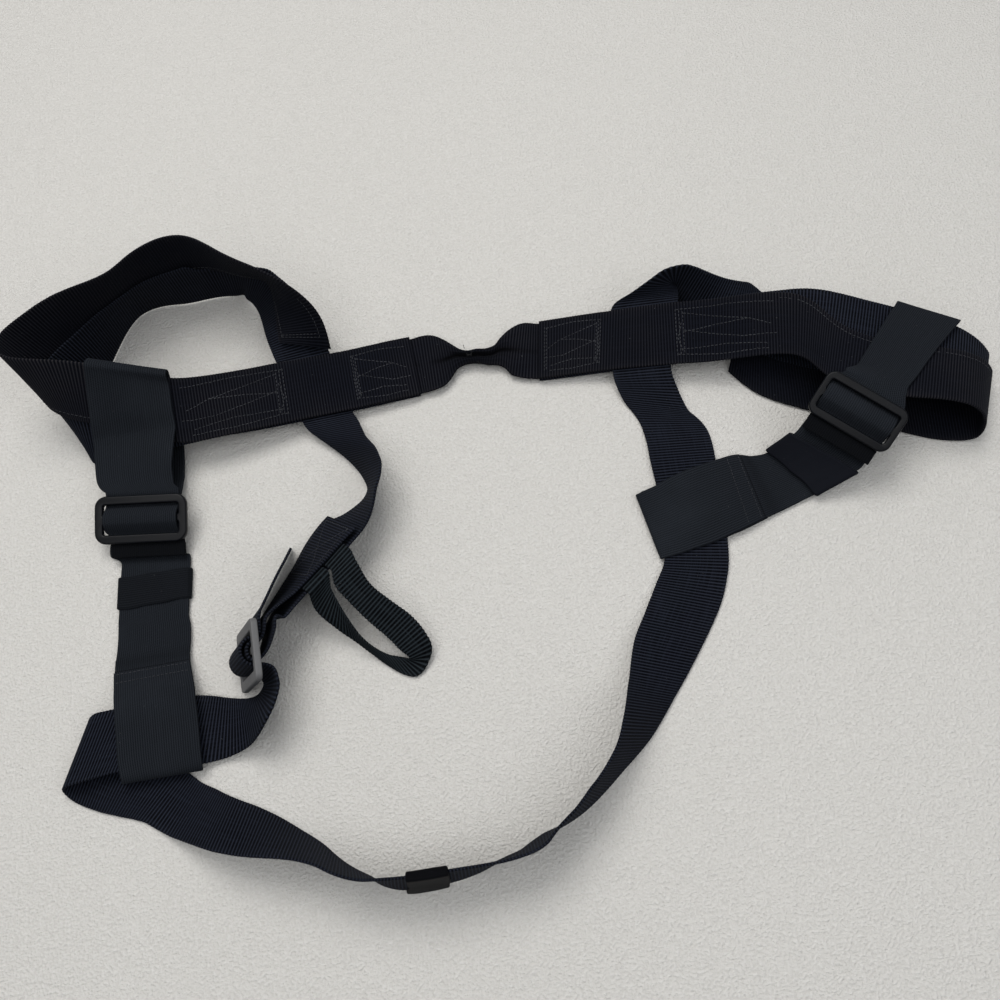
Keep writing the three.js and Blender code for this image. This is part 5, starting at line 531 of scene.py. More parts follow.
class StrapPath:
    """A strap's two edges, resampled evenly along its middle line.

    s is the distance along it (mm) and row the fractional row in its station table.
    """

    def __init__(self, table, step):
        A, B = table[:, :3], table[:, 3:]
        gaps = np.maximum(np.linalg.norm(np.diff((A + B) / 2, axis=0), axis=1), 1e-3)
        knots = np.r_[0, np.cumsum(np.sqrt(gaps))]
        dense = np.linspace(knots[0], knots[-1], max(400, len(table) * 40))
        middle = (catmull_rom(A, knots, dense) + catmull_rom(B, knots, dense)) / 2
        s = np.r_[0, np.cumsum(np.linalg.norm(np.diff(middle, axis=0), axis=1))]
        self.s = np.linspace(0, s[-1], max(8, int(round(s[-1] / step)) + 1))
        even = np.interp(self.s, s, dense)
        self.A = catmull_rom(A, knots, even)
        self.B = catmull_rom(B, knots, even)
        self.row = np.interp(even, knots, np.arange(len(table)))
        tangent = np.gradient((self.A + self.B) / 2, axis=0)
        N = unit(np.cross(tangent, self.B - self.A))
        for _ in range(3):
            N[1:-1] = unit(N[:-2] + 2 * N[1:-1] + N[2:])
        self.N = N
        self.width = np.linalg.norm(self.B - self.A, axis=1)

    def at(self, row, v):
        """Point and normal at a station row and a fraction v from edge A to edge B."""
        a, b, n = (interp_points(row, self.row, c) for c in (self.A, self.B, self.N))
        return a + (b - a) * np.asarray(v)[..., None], unit(n)

    def cut(self, first, last):
        """The part between two station rows."""
        part = object.__new__(StrapPath)
        keep = (self.row >= first - 1e-9) & (self.row <= last + 1e-9)
        for key, values in vars(self).items():
            setattr(part, key, values[keep])
        return part


# ------------------------------------------------------------------ mesh helpers
def make_object(name, verts, faces, material, attributes=None):
    mesh = bpy.data.meshes.new(name)
    mesh.from_pydata((np.asarray(verts) * MM).tolist(), [], faces)
    mesh.validate(clean_customdata=False)
    for key, values in (attributes or {}).items():
        layer = mesh.attributes.new(key, 'FLOAT', 'POINT')
        layer.data.foreach_set('value', np.asarray(values, np.float32))
    return link_smooth(name, mesh, material)


def link_smooth(name, mesh, material):
    mesh.polygons.foreach_set('use_smooth', np.ones(len(mesh.polygons), bool))
    ob = bpy.data.objects.new(name, mesh)
    bpy.context.scene.collection.objects.link(ob)
    mesh.materials.append(material)
    return ob


def register(ob, body, nodes, slot):
    if body:
        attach(ob, body)
    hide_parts(*nodes)


def face_outward(ob, check_volume=False):
    bm = bmesh.new()
    bm.from_mesh(ob.data)
    bmesh.ops.recalc_face_normals(bm, faces=bm.faces)
    if check_volume and bm.calc_volume(signed=True) < 0:
        bmesh.ops.reverse_faces(bm, faces=bm.faces)
    bm.to_mesh(ob.data)
    bm.free()


def ring_faces(rings, count):
    """Quads between rings of count points, and an n-gon over each end."""
    i = np.arange(rings - 1)[:, None] * count
    j = np.arange(count)[None, :]
    j2 = (j + 1) % count
    quads = np.stack([i + j, i + j2, i + count + j2, i + count + j], -1).reshape(-1, 4)
    start_cap = list(range(count))[::-1]
    end_cap = [(rings - 1) * count + k for k in range(count)]
    return quads.tolist() + [start_cap, end_cap]


# ------------------------------------------------------------------ materials
class Nodes:
    """A new material with a Principled shader, and short ways to add shader nodes."""

    def __init__(self, name):
        self.material = bpy.data.materials.new(name)
        self.material.use_nodes = True
        self.tree = self.material.node_tree
        self.tree.nodes.clear()
        output = self.add('ShaderNodeOutputMaterial')
        self.shader = self.add('ShaderNodeBsdfPrincipled')
        self.tree.links.new(self.shader.outputs['BSDF'], output.inputs['Surface'])

    def add(self, kind, **settings):
        node = self.tree.nodes.new(kind)
        for key, value in settings.items():
            setattr(node, key, value)
        return node

    def put(self, socket, value):
        if isinstance(value, bpy.types.NodeSocket):
            self.tree.links.new(value, socket)
        elif isinstance(value, tuple):
            socket.default_value = (*value, 1)
        else:
            socket.default_value = value

    def finish(self, inputs):
        for key, value in inputs.items():
            self.put(self.shader.inputs[key], value)
        return self.material

    def math(self, operation, *values, clamp=False):
        node = self.add('ShaderNodeMath', operation=operation, use_clamp=clamp)
        for socket, value in zip(node.inputs, values):
            self.put(socket, value)
        return node.outputs[0]

    def mul(self, a, b, clamp=False):
        return self.math('MULTIPLY', a, b, clamp=clamp)

    def linear(self, value, scale, offset):
        return self.math('MULTIPLY_ADD', value, scale, offset)

    def weigh(self, *pairs):
        """Sum of value * weight, for two (value, weight) pairs."""
        return self.math('ADD', *[self.mul(value, weight) for value, weight in pairs])

    def above(self, value, start, gain):
        """0 up to start, then rising by gain to 1."""
        return self.mul(self.math('SUBTRACT', value, start), gain, clamp=True)

    def ripple(self, value, pitch):
        """Cosine ridges, 0..1, one per pitch."""
        return self.linear(self.math('COSINE', self.mul(value, 2 * math.pi / pitch)), 0.5, 0.5)

    def attribute(self, name):
        return self.add('ShaderNodeAttribute', attribute_name=name).outputs['Fac']

    def noise(self, scale, detail, vector=None):
        """Noise in object space (metres), or over the given vector."""
        node = self.add('ShaderNodeTexNoise')
        self.put(node.inputs['Vector'],
                 vector or self.add('ShaderNodeTexCoord').outputs['Object'])
        self.put(node.inputs['Scale'], scale)
        self.put(node.inputs['Detail'], detail)
        self.put(node.inputs['Roughness'], 0.55)
        return node.outputs['Fac']

    def streaks(self, along, across, along_scale, across_scale):
        """Noise drawn out along the yarns, different on each side of the strap."""
        vector = self.add('ShaderNodeCombineXYZ')
        self.put(vector.inputs[0], self.mul(across, across_scale))
        self.put(vector.inputs[1], self.mul(along, along_scale))
        self.put(vector.inputs[2], self.attribute('side'))
        return self.noise(scale=1.0, detail=3, vector=vector.outputs[0])

    def mix(self, factor, a, b):
        node = self.add('ShaderNodeMix', data_type='RGBA')
        self.put(node.inputs[0], factor)
        self.put(node.inputs[6], a)
        self.put(node.inputs[7], b)
        return node.outputs[2]

    def lint(self, base, scale, threshold, amount, color):
        speck = self.math('GREATER_THAN', self.noise(scale, detail=1), threshold)
        return self.mix(self.mul(speck, amount), base, color)

    def bump(self, height, strength, distance):
        node = self.add('ShaderNodeBump')
        self.put(node.inputs['Height'], height)
        self.put(node.inputs['Strength'], strength)
        self.put(node.inputs['Distance'], distance)
        return node.outputs[0]


def webbing_material(name, dark, light, rib=RIB, yarn=0.95, wear=0.5, worn=(0.05, 0.047, 0.045),
                     bump_depth=0.00025, rough=0.8, specular=0.035, sheen=0.018):
    """Crosswise ribs of staggered yarns with painted shade in the rib valleys, a painted highlight
    on the crests and rubbed crests; rib and yarn are pitches in mm.
    """
    g = Nodes(name)
    along, across = g.attribute('s_mm'), g.attribute('d_mm')
    crest = g.ripple(along, rib)
    half_step = g.mul(g.math('FLOOR', g.math('DIVIDE', along, rib)), 0.5)
    yarn_count = g.math('ADD', g.math('DIVIDE', across, yarn), half_step)
    yarns = g.math('ABSOLUTE', g.math('SINE', g.mul(yarn_count, math.pi)))
    clouds = g.noise(scale=9.0, detail=3)
    streak = g.streaks(along, across, along_scale=0.035, across_scale=0.9)
    fuzz = g.noise(scale=900.0, detail=2)
    # painted shade in the rib valleys and painted highlight on the crests
    base = g.mix(g.math('POWER', crest, 2.5), dark, light)
    base = g.mix(g.mul(yarns, 0.35), base, dark)
    # rubbed crests, patchy and stronger near the long edges
    from_middle = g.math('ABSOLUTE', g.linear(g.attribute('v01'), scale=2.0, offset=-1.0))
    edge = g.math('POWER', from_middle, 10.0)
    patch = g.above(clouds, start=0.42, gain=3.0)
    rubbed = g.mul(g.math('POWER', crest, 3.0), g.weigh((patch, 0.8), (edge, 0.6)))
    base = g.mix(g.mul(rubbed, wear, clamp=True), base, worn)
    base = g.mix(g.above(streak, start=0.45, gain=0.9), base, light)
    base = g.lint(base, scale=640.0, threshold=0.79, amount=0.25, color=(0.12, 0.12, 0.125))
    # painted shade: creases go almost black
    crease = g.mul(g.attribute('crease_shade'), 0.93, clamp=True)
    base = g.mix(crease, base, (0.0003, 0.0003, 0.0006))
    height = g.weigh((yarns, 0.55), (fuzz, 0.35))
    return g.finish({
        'Base Color': base,
        'Specular IOR Level': specular,
        'Roughness': g.linear(streak, scale=0.25, offset=rough - 0.12),
        'Sheen Weight': sheen,
        'Sheen Roughness': 0.45,
        'Sheen Tint': (0.55, 0.6, 0.75),
        'Normal': g.bump(height, strength=0.75, distance=bump_depth)})


def elastic_material(name, dark, light, around=False):
    """Cords crossed by a fine weft; around turns the cords crosswise and leaves out the painted
    shade on the hem.
    """
    g = Nodes(name)
    along, across = g.attribute('s_mm'), g.attribute('d_mm')
    if around:
        along, across = across, along
    weft_pitch = 1.15
    cords = g.ripple(across, CORD)
    weft_shift = g.mul(g.math('FLOOR', g.math('DIVIDE', across, CORD)), math.pi)
    weft_phase = g.math('ADD', g.mul(along, 2 * math.pi / weft_pitch), weft_shift)
    weft = g.linear(g.math('SINE', weft_phase), scale=0.5, offset=0.5)
    clouds = g.noise(scale=14.0, detail=4)
    streak = g.streaks(along, across, along_scale=0.02, across_scale=1.3)
    fuzz = g.noise(scale=1100.0, detail=2)
    weave = g.mul(g.weigh((cords, 0.55), (weft, 0.35)), 1.0, clamp=True)
    base = g.mix(weave, dark, light)
    base = g.mix(g.above(streak, start=0.5, gain=0.8), base, light)
    base = g.mix(g.above(clouds, start=0.5, gain=0.7), base, tuple(x * 1.5 for x in light))
    base = g.lint(base, scale=600.0, threshold=0.80, amount=0.2, color=(0.14, 0.14, 0.14))
    # painted shade: the rolled hem and the creases go almost black
    hem = g.mul(g.math('LESS_THAN', g.attribute('u_row'), HEM_ROW), 0.0 if around else 0.85)
    crease = g.mul(g.attribute('crease_shade'), 0.85, clamp=True)
    base = g.mix(g.math('MAXIMUM', hem, crease), base, (0.0008, 0.0009, 0.0013))
    height = g.math('ADD', g.mul(cords, 0.8), g.weigh((weft, 0.4), (fuzz, 0.4)))
    return g.finish({
        'Base Color': base,
        'Specular IOR Level': 0.04,
        'Roughness': g.linear(streak, scale=0.2, offset=0.72),
        'Sheen Weight': 0.025,
        'Sheen Roughness': 0.5,
        'Sheen Tint': (0.6, 0.66, 0.8),
        'Normal': g.bump(height, strength=0.9, distance=0.0003)})


def plastic_material(name, color, edge_wear_and_highlight, rough, grain, bump, specular):
    """Moulded plastic with a fine grain and lighter convex edges, partly rubbed wear and partly
    painted highlight.
    """
    g = Nodes(name)
    clouds = g.noise(scale=30.0, detail=4)
    fine = g.noise(scale=grain, detail=3)
    pointiness = g.add('ShaderNodeNewGeometry').outputs['Pointiness']
    # convex edges painted lighter in patches: rubbed wear together with a painted highlight
    convex = g.above(pointiness, start=0.52, gain=9.0)
    rubbed = g.mul(convex, g.linear(clouds, scale=1.2, offset=0.0), clamp=True)
    paler = tuple(x * 1.35 for x in color)
    base = g.mix(g.above(clouds, start=0.4, gain=1.2), color, paler)
    cloud_rough = g.linear(clouds, scale=0.15, offset=rough - 0.15)
    return g.finish({
        'Base Color': g.mix(rubbed, base, edge_wear_and_highlight),
        'Roughness': g.math('ADD', g.mul(fine, 0.18), cloud_rough),
        'Specular IOR Level': specular,
        'Normal': g.bump(fine, strength=bump, distance=0.0002)})


def thread_material(name, color, faded):
    g = Nodes(name)
    clouds = g.noise(scale=60.0, detail=3)
    twist = g.add('ShaderNodeTexWave', wave_type='BANDS', bands_direction='DIAGONAL')
    twist.inputs['Scale'].default_value = 900
    twist.inputs['Distortion'].default_value = 1.5
    return g.finish({
        'Base Color': g.mix(g.above(clouds, start=0.35, gain=2.2), color, faded),
        'Roughness': g.linear(clouds, scale=0.2, offset=0.6),
        'Sheen Weight': 0.04,
        'Specular IOR Level': 0.15,
        'Normal': g.bump(twist.outputs['Fac'], strength=0.5, distance=0.0001)})


def floor_material():
    g = Nodes('pale_floor')
    grain = g.noise(scale=520.0, detail=3)
    clouds = g.noise(scale=2.2, detail=3)
    base = g.mix(clouds, (0.472, 0.459, 0.434), (0.507, 0.493, 0.468))
    return g.finish({
        'Base Color': g.mix(g.above(grain, start=0.42, gain=1.6), base, (0.62, 0.61, 0.592)),
        'Roughness': g.linear(grain, scale=0.2, offset=0.45),
        'Specular IOR Level': 0.3,
        'Normal': g.bump(grain, strength=0.95, distance=0.0023)})


RIBBED = webbing_material(
    'webbing_navy_ribbed', dark=(0.0004, 0.0005, 0.0012), light=(0.0180, 0.0216, 0.0330),
    wear=0.25, worn=(0.030, 0.032, 0.038))
WORN = webbing_material(
    'webbing_worn_face', dark=(0.0010, 0.0012, 0.0025), light=(0.0082, 0.0095, 0.0145),
    rib=FINE_RIB, yarn=0.8, wear=0.8, worn=(0.024, 0.022, 0.0225))
TAB_WEBBING = webbing_material(
    'tab_webbing_ribbed', dark=(0.0003, 0.0005, 0.0008), light=(0.0200, 0.0265, 0.0315),
    rib=TAB_RIB, yarn=1.1, wear=0.3)
KEEPER_TAPE = webbing_material(
    'keeper_tape_smooth', dark=(0.0030, 0.0036, 0.0060), light=(0.0056, 0.0066, 0.0100),
    rib=0.9, yarn=0.7, wear=0.15, bump_depth=0.00012, rough=0.72, specular=0.05)
DARK_TAPE = webbing_material(
    'keeper_tape_dark', dark=(0.0010, 0.0011, 0.0018), light=(0.0022, 0.0024, 0.0036),
    rib=0.9, yarn=0.7, wear=0.1, bump_depth=0.00012, rough=0.6, specular=0.05, sheen=0.0)
ELASTIC = elastic_material(
    'elastic_woven', dark=(0.0018, 0.0023, 0.0034), light=(0.0158, 0.0185, 0.0232))
ELASTIC_BAND = elastic_material(
    'elastic_keeper_band', dark=(0.0018, 0.0022, 0.0030), light=(0.0085, 0.0098, 0.0125),
    around=True)
THREAD = thread_material(
    'thread_faded', color=(0.013, 0.014, 0.017), faded=(0.040, 0.042, 0.048))
DARK_THREAD = thread_material(
    'thread_dark', color=(0.0012, 0.0014, 0.002), faded=(0.0035, 0.004, 0.005))
BLACK_PLASTIC = plastic_material(
    'plastic_black_satin', color=(0.0007, 0.0010, 0.0020), edge_wear_and_highlight=(0.0120, 0.0145, 0.0200),
    rough=0.36, grain=700.0, bump=0.12, specular=0.13)
GREY_PLASTIC = plastic_material(
    'plastic_grey_matte', color=(0.088, 0.088, 0.090), edge_wear_and_highlight=(0.15, 0.15, 0.15),
    rough=0.62, grain=500.0, bump=0.2, specular=0.3)


# ------------------------------------------------------------------ straps
def across_fractions(width, cords):
    """Fractions across a strap, dense at the rounded edges."""
    edge = np.array([0, 0.15, 0.45, 0.9, 1.6])
    inner = np.linspace(2.4, width - 2.4, cords) if cords else np.linspace(4, width - 4, 9)
    return np.r_[edge, inner, (width - edge)[::-1]] / width


def strap(name, nodes, path, thick, material, slot, seed, body='belt', rib=RIB, rib_height=0,
          serration=0, cords=0, cord_height=0, wave=0, fold=None):
    """Closed strap mesh with rounded long edges.

    thick is one value or one per ring. Crosswise ribs end in serrated edges, cords is the
    number of mesh columns for lengthwise cords, wave the waviness, and fold(path, v) gives
    extra offset along the normal and the painted shade of its creases.
    """
    width = float(np.median(path.width))
    v = across_fractions(width, cords)
    s = path.s
    rings, columns = len(s), len(v)

    def noise(offset, scale, octaves=3):
        return smooth_noise(s, seed + offset, scale, octaves)[:, None]

    inset = np.minimum(v, 1 - v)[None, :] * width
    crest = (0.5 + 0.5 * np.cos(2 * np.pi * s / rib))[:, None]
    rounding = np.sqrt(np.clip(1 - (1 - np.clip(inset / EDGE_ROUND, 0, 1)) ** 2, 0, 1))
    half = np.broadcast_to(thick, rings)[:, None] / 2 * rounding
    half = half + (crest - 0.5) * rib_height * np.clip(inset / 0.6, 0, 1) * 0.5
    cord_wave = np.cos(2 * np.pi * v[None, :] * width / CORD)
    half = half + cord_height * 0.5 * cord_wave * np.clip((inset - 1.5) / 1.5, 0, 1)

    # each rib ends in a small bump on the edge
    outward = np.where(v < 0.5, -1, 1)
    bumps = (crest - 0.6) * serration * np.clip(1 - inset / 2.0, 0, 1)
    place = v + outward * bumps / np.maximum(path.width[:, None], 5)
    # both edges wander a little, up to about wander mm
    wander = 0.35
    near_a, near_b = np.clip(1 - v * 4, 0, 1), np.clip(1 - (1 - v) * 4, 0, 1)
    place = place + (near_a * noise(0, 37) * wander + near_b * noise(7, 31) * wander) / NOMINAL_WIDTH
    centre = path.A[:, None, :] + (path.B - path.A)[:, None, :] * place[..., None]

    edge_weight = 0.3 + 0.7 * np.abs(2 * v - 1)
    bow = wave * (noise(3, 24, 2) * np.sin(np.pi * v)
                  + 0.6 * noise(4, 15, 2) * np.cos(3 * np.pi * v) * edge_weight)
    # painted crease shade, zero unless fold gives some
    crease_shade = np.zeros((rings, columns))
    if fold:
        lift, crease_shade = fold(path, v)
        bow = bow + lift
    N = path.N[:, None, :]
    top = centre + N * (bow + half)[..., None]
    bottom = centre + N * (bow - half)[..., None]

    ring = np.concatenate([top, bottom[:, -2:0:-1]], axis=1)
    count = ring.shape[1]
    v_ring = np.tile(np.r_[v, v[-2:0:-1]], rings)
    ob = make_object(name, ring.reshape(-1, 3), ring_faces(rings, count), material, {
        's_mm': np.repeat(s, count),
        'd_mm': v_ring * width,
        'v01': v_ring,
        'side': np.tile(np.r_[np.ones(columns), np.zeros(columns - 2)], rings),
        'u_row': np.repeat(path.row, count),
        'crease_shade': np.concatenate([crease_shade, crease_shade[:, -2:0:-1]], axis=1).ravel()})
    face_outward(ob, check_volume=True)
    register(ob, body, nodes, slot)
    return ob


yoke = StrapPath(YOKE, WEB_STEP)
left_front = StrapPath(LEFT_FRONT, WEB_STEP)
left_back = StrapPath(LEFT_BACK, WEB_STEP)
right_front = StrapPath(RIGHT_FRONT, WEB_STEP)
right_back_and_tail = StrapPath(np.vstack([RIGHT_BACK, TAIL]), WEB_STEP)
left_elastic = StrapPath(LEFT_ELASTIC, ELASTIC_STEP)
right_elastic = StrapPath(RIGHT_ELASTIC, ELASTIC_STEP)
pull_tab = StrapPath(PULL_TAB, TAB_STEP)
LEFT_BACK_END = len(LEFT_BACK) - 1
RIGHT_BACK_END = len(RIGHT_BACK) - 1
YOKE_WAIST = float(np.argmin(np.linalg.norm(YOKE[:, :3] - YOKE[:, 3:], axis=1)))  # narrowest row


def yoke_fold(path, v):
    """Gathers the yoke into two rolls and small pleats where it is narrow, with painted shade
    between the rolls and over the pleats.
    """
    gather = np.clip((47.5 - path.width) / 35.0, 0, 1)[:, None]
    x = v[None, :] + 0.015 * smooth_noise(path.s, 77, 16, 2)[:, None] - 0.01
    rolls = (np.sin(2 * np.pi * x) ** 2 + 0.002) ** 0.3
    pleats = np.cos(12 * np.pi * x + 1.5 * smooth_noise(path.s, 78, 9, 2)[:, None])
    offset = -(gather ** 0.5 * 3.6 * (rolls - 0.72) + 0.22 * pleats * gather ** 0.5)
    from_middle = (x - 0.5) * np.clip(path.width, 8, 50)[:, None]
    # painted shade: a dark line between the rolls, a softer shade around it, then shade over the
    # pleats
    line = gather ** 0.33 * np.exp(-(from_middle / 2.0) ** 2) * 1.1
    shade = 0.35 * gather ** 0.5 * np.exp(-(from_middle / 5.0) ** 2)
    crease_shade = np.clip(line + shade, 0, 1)
    return offset, np.clip(crease_shade + 0.3 * gather * np.clip(pleats, 0, 1), 0, 1)


def elastic_layer(row, seam):
    """Extra thickness of the doubled part: a sharp step at the seam row that then fades out."""
    x = row - seam
    step = 1 + np.exp(np.clip(-(x + 0.22) / 0.025, -60, 60))
    return LAYER_T / step * np.clip(1 - x / 8.0, 0, 1)


def elastic(name, node, path, seam, seed):
    def fold(path, v):
        x = (path.row - seam)[:, None]
        wrinkles = (0.25 * smooth_noise(path.s, 5, 6, 2)[:, None]
                    * np.cos(2.2 * np.pi * v)[None, :] * np.exp(-((x + 4) / 3.0) ** 2))
        # painted shadow along the edge of the doubled layer at the seam, with a softer painted shade
        # beside it
        crease_shade = np.exp(-((x + 0.27) / 0.05) ** 2) + 0.3 * np.exp(-((x + 0.9) / 0.5) ** 2)
        offset = elastic_layer(path.row, seam)[:, None] / 2 + wrinkles
        return offset, np.clip(crease_shade * np.ones(len(v)), 0, 1)

    hem = 3.2 * np.clip((HEM_ROW - path.row) / 0.5, 0, 1) ** 0.5
    thick = ELASTIC_T + hem + elastic_layer(path.row, seam)
    strap(name, [node], path, thick, ELASTIC, 'elastic', seed=seed, cords=66, cord_height=0.16,
          wave=0.3, fold=fold)


WIDE_WEAVE = dict(rib=RIB, rib_height=0.42, serration=0.32)
FRONT_WEAVE = dict(rib=FINE_RIB, rib_height=0.22, serration=0.28)

yoke_thick = WEB_T + 1.2 * np.exp(-((yoke.row - YOKE_WAIST) / 3.0) ** 2)
strap('yoke_webbing_piece', ['yoke_webbing'], yoke, yoke_thick, WORN, 'webbing', seed=3,
      rib=FINE_RIB, rib_height=0.2, serration=0.25, cords=60, fold=yoke_fold)
for part, path, material, weave, seed in (
        ('left_shoulder_front', left_front, WORN, FRONT_WEAVE, 11),
        ('left_shoulder_back', left_back, RIBBED, WIDE_WEAVE, 21),
        ('right_shoulder_front', right_front, WORN, FRONT_WEAVE, 31),
        ('right_shoulder_back', right_back_and_tail.cut(0, RIGHT_BACK_END),
         RIBBED, WIDE_WEAVE, 41)):
    strap(part + '_piece', [part + '_webbing'], path, WEB_T, material, 'webbing', seed=seed,
          **weave)


def strap_tail():
    """Tail strap along the tail stations, starting a hair before the last belt row."""
    overlap_rows, blend_rings = 0.02, 24
    path = right_back_and_tail.cut(RIGHT_BACK_END - overlap_rows, 1e9)
    ob = strap('strap_tail_piece', ['strap_tail'], path, WEB_T, RIBBED, 'webbing', seed=41,
               body=None, **WIDE_WEAVE)
    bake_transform(ob)


def tab_loop():
    """Pull tab strap along its stations. It also works out the lift hinge, its axis and the
    direction from the hinge to the tab's middle, which nothing then uses.
    """
    ob = strap('pull_tab_piece', ['pull_tab', 'pull_tab_root_upper', 'pull_tab_root_lower'],
               pull_tab, TAB_T, TAB_WEBBING, 'tab_webbing', seed=51, body=None,
               rib=TAB_RIB, rib_height=0.55, serration=0.45)
    joint = [j for j in frame['joints'] if j['name'] == 'pull_tab_lift'][0]
    hinge = np.array(joint.get('pos_m') or joint.get('pos'), float)
    axis = np.array(joint['axis'], float)
    axis /= np.linalg.norm(axis)
    out = np.array(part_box('pull_tab')).mean(0) - hinge
    out -= axis * (out @ axis)
    out /= np.linalg.norm(out)
    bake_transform(ob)


strap_tail()
tab_loop()
elastic('left_elastic_piece', 'left_elastic', left_elastic, LEFT_SEAM_ROW, seed=61)
elastic('right_elastic_piece', 'right_elastic', right_elastic, RIGHT_SEAM_ROW, seed=71)


# ------------------------------------------------------------------ keepers
def rounded_ring(half_w, half_h, r, count):
    """x, y and side-coded distance of points evenly spaced round a rounded rectangle."""
    flat_x, flat_y = half_w - r, half_h - r
    sides = [2 * flat_x, math.pi * r / 2, 2 * flat_y, math.pi * r / 2] * 2
    for k in range(count):
        rest = (k + 0.5) / count * sum(sides)
        side = 0
        while rest > sides[side]:
            rest -= sides[side]
            side += 1
        f = rest / max(sides[side], 1e-9)
        sin, cos = math.sin(f * math.pi / 2), math.cos(f * math.pi / 2)
        # the second half of the ring is the first turned half a turn
        x, y = ((flat_x - f * 2 * flat_x, half_h),
                (-flat_x - r * sin, flat_y + r * cos),
                (-half_w, flat_y - f * 2 * flat_y),
                (-flat_x - r * cos, -flat_y - r * sin))[side % 4]
        sign = 1 if side < 4 else -1
        yield sign * x, sign * y, rest + side * 20


def keeper(name, node, path, rows, thick, gap, material, body, slot, seed, lap=0.0):
    """Sleeve round a strap between two station rows; lap is the height of an overlap on it."""
    WALL, COUNT, END_WAVE = 1.2, 72, 0.9
    path = path.cut(*rows)
    s = path.s - path.s[0]
    rings, length, last = len(s), s[-1], len(s) - 1
    outer, inner, along, around = [], [], [], []
    for i in range(rings):
        a, b, normal = path.A[i], path.B[i], path.N[i]
        centre = (a + b) / 2
        half_w = np.linalg.norm(b - a) / 2
        across = (b - a) / (2 * half_w)
        normal = normal - across * (normal @ across)
        normal /= np.linalg.norm(normal)
        ahead, behind = min(i + 3, last), max(i - 3, 0)
        tangent = path.A[ahead] + path.B[ahead] - path.A[behind] - path.B[behind]
        tangent = tangent / np.linalg.norm(tangent)
        # the outer face is rounded off over the last 0.8 mm of each end
        from_end = min(s[i], length - s[i])
        soft = math.sqrt(max(0.0, 1 - (1 - min(from_end / 0.8, 1)) ** 2))
        position = 2 * s[i] / length - 1
        end_weight = abs(position) ** 2 * (1 if position > 0 else 0.7)
        outer_gap = gap + WALL * (0.55 + 0.45 * soft)
        for points, grow, corner, is_outer in ((inner, gap, 1.2, False),
                                               (outer, outer_gap, 1.9, True)):
            ring_w, ring_h = half_w + grow, thick / 2 + grow
            radius = min(ring_h * 0.95, corner)
            for x, y, distance in rounded_ring(ring_w, ring_h, radius, COUNT):
                swell = 0.0
                if is_outer:
                    swell = (0.3 * math.sin(3.1 * x / half_w + seed)
                             * math.sin(math.pi * s[i] / length))
                    lap_start, lap_end = -ring_w * 0.15, ring_w * 0.62
                    if lap_start < x < lap_end and y > 0:
                        swell += (lap * min(1, (x - lap_start) / 0.5)
                                  * min(1, (lap_end - x) / 0.5))
                    along.append(s[i])
                    around.append(distance)
                ripple = (math.sin(2.4 * x / half_w + seed)
                          + 0.45 * math.sin(6.1 * x / half_w + 2 * seed))
                points.append(centre + across * x + tangent * END_WAVE * ripple * end_weight
                              + normal * (y + (swell if y > 0 else -swell * 0.3)))
    faces = []
    inside = rings * COUNT
    for i in range(0, last * COUNT, COUNT):
        for k in range(COUNT):
            p, q = i + k, i + (k + 1) % COUNT
            faces.append([p, q, q + COUNT, p + COUNT])
            faces.append([inside + x for x in (p, p + COUNT, q + COUNT, q)])
    end = last * COUNT
    for k in range(COUNT):
        k2 = (k + 1) % COUNT
        faces.append([k, inside + k, inside + k2, k2])
        faces.append([end + k, end + k2, inside + end + k2, inside + end + k])
    ob = make_object(name, outer + inner, faces, material, {
        's_mm': along * 2, 'd_mm': around * 2, 'v01': [0.5] * (2 * inside),
        'side': [1] * (2 * inside)})
    face_outward(ob)
    register(ob, body, [node], slot)


keeper('left_elastic_keeper_piece', 'left_elastic_keeper', left_elastic, (69.41, 71.91),
       ELASTIC_T, gap=0.55, material=ELASTIC_BAND, body='left_keeper', slot='elastic', seed=3,
       lap=0.35)
keeper('right_elastic_keeper_piece', 'right_elastic_keeper', right_elastic, (47.21, 50.66),
       ELASTIC_T, gap=1.3, material=KEEPER_TAPE, body='right_keeper', slot='keeper_webbing',
       seed=4, lap=0.3)
keeper('waist_strap_keeper_piece', 'waist_strap_keeper', right_back_and_tail, (129.35, 132.34),
       WEB_T, gap=1.0, material=DARK_TAPE, body='waist_keeper', slot='keeper_webbing', seed=5)


# ------------------------------------------------------------------ sliders
def add_outline(curve, x0, y0, x1, y1, r):
    """Closed rounded rectangle, eight points to a corner."""
    corners = ((x1 - r, y1 - r, 0), (x0 + r, y1 - r, 90), (x0 + r, y0 + r, 180),
               (x1 - r, y0 + r, 270))
    spline = curve.splines.new('POLY')
    spline.points.add(4 * 8 - 1)
    for i, point in enumerate(spline.points):
        cx, cy, start = corners[i // 8]
        angle = math.radians(start + 90 * (i % 8) / 7)
        x, y = cx + r * math.cos(angle), cy + r * math.sin(angle)
        point.co = (x * MM, y * MM, 0, 1)
    spline.use_cyclic_u = True


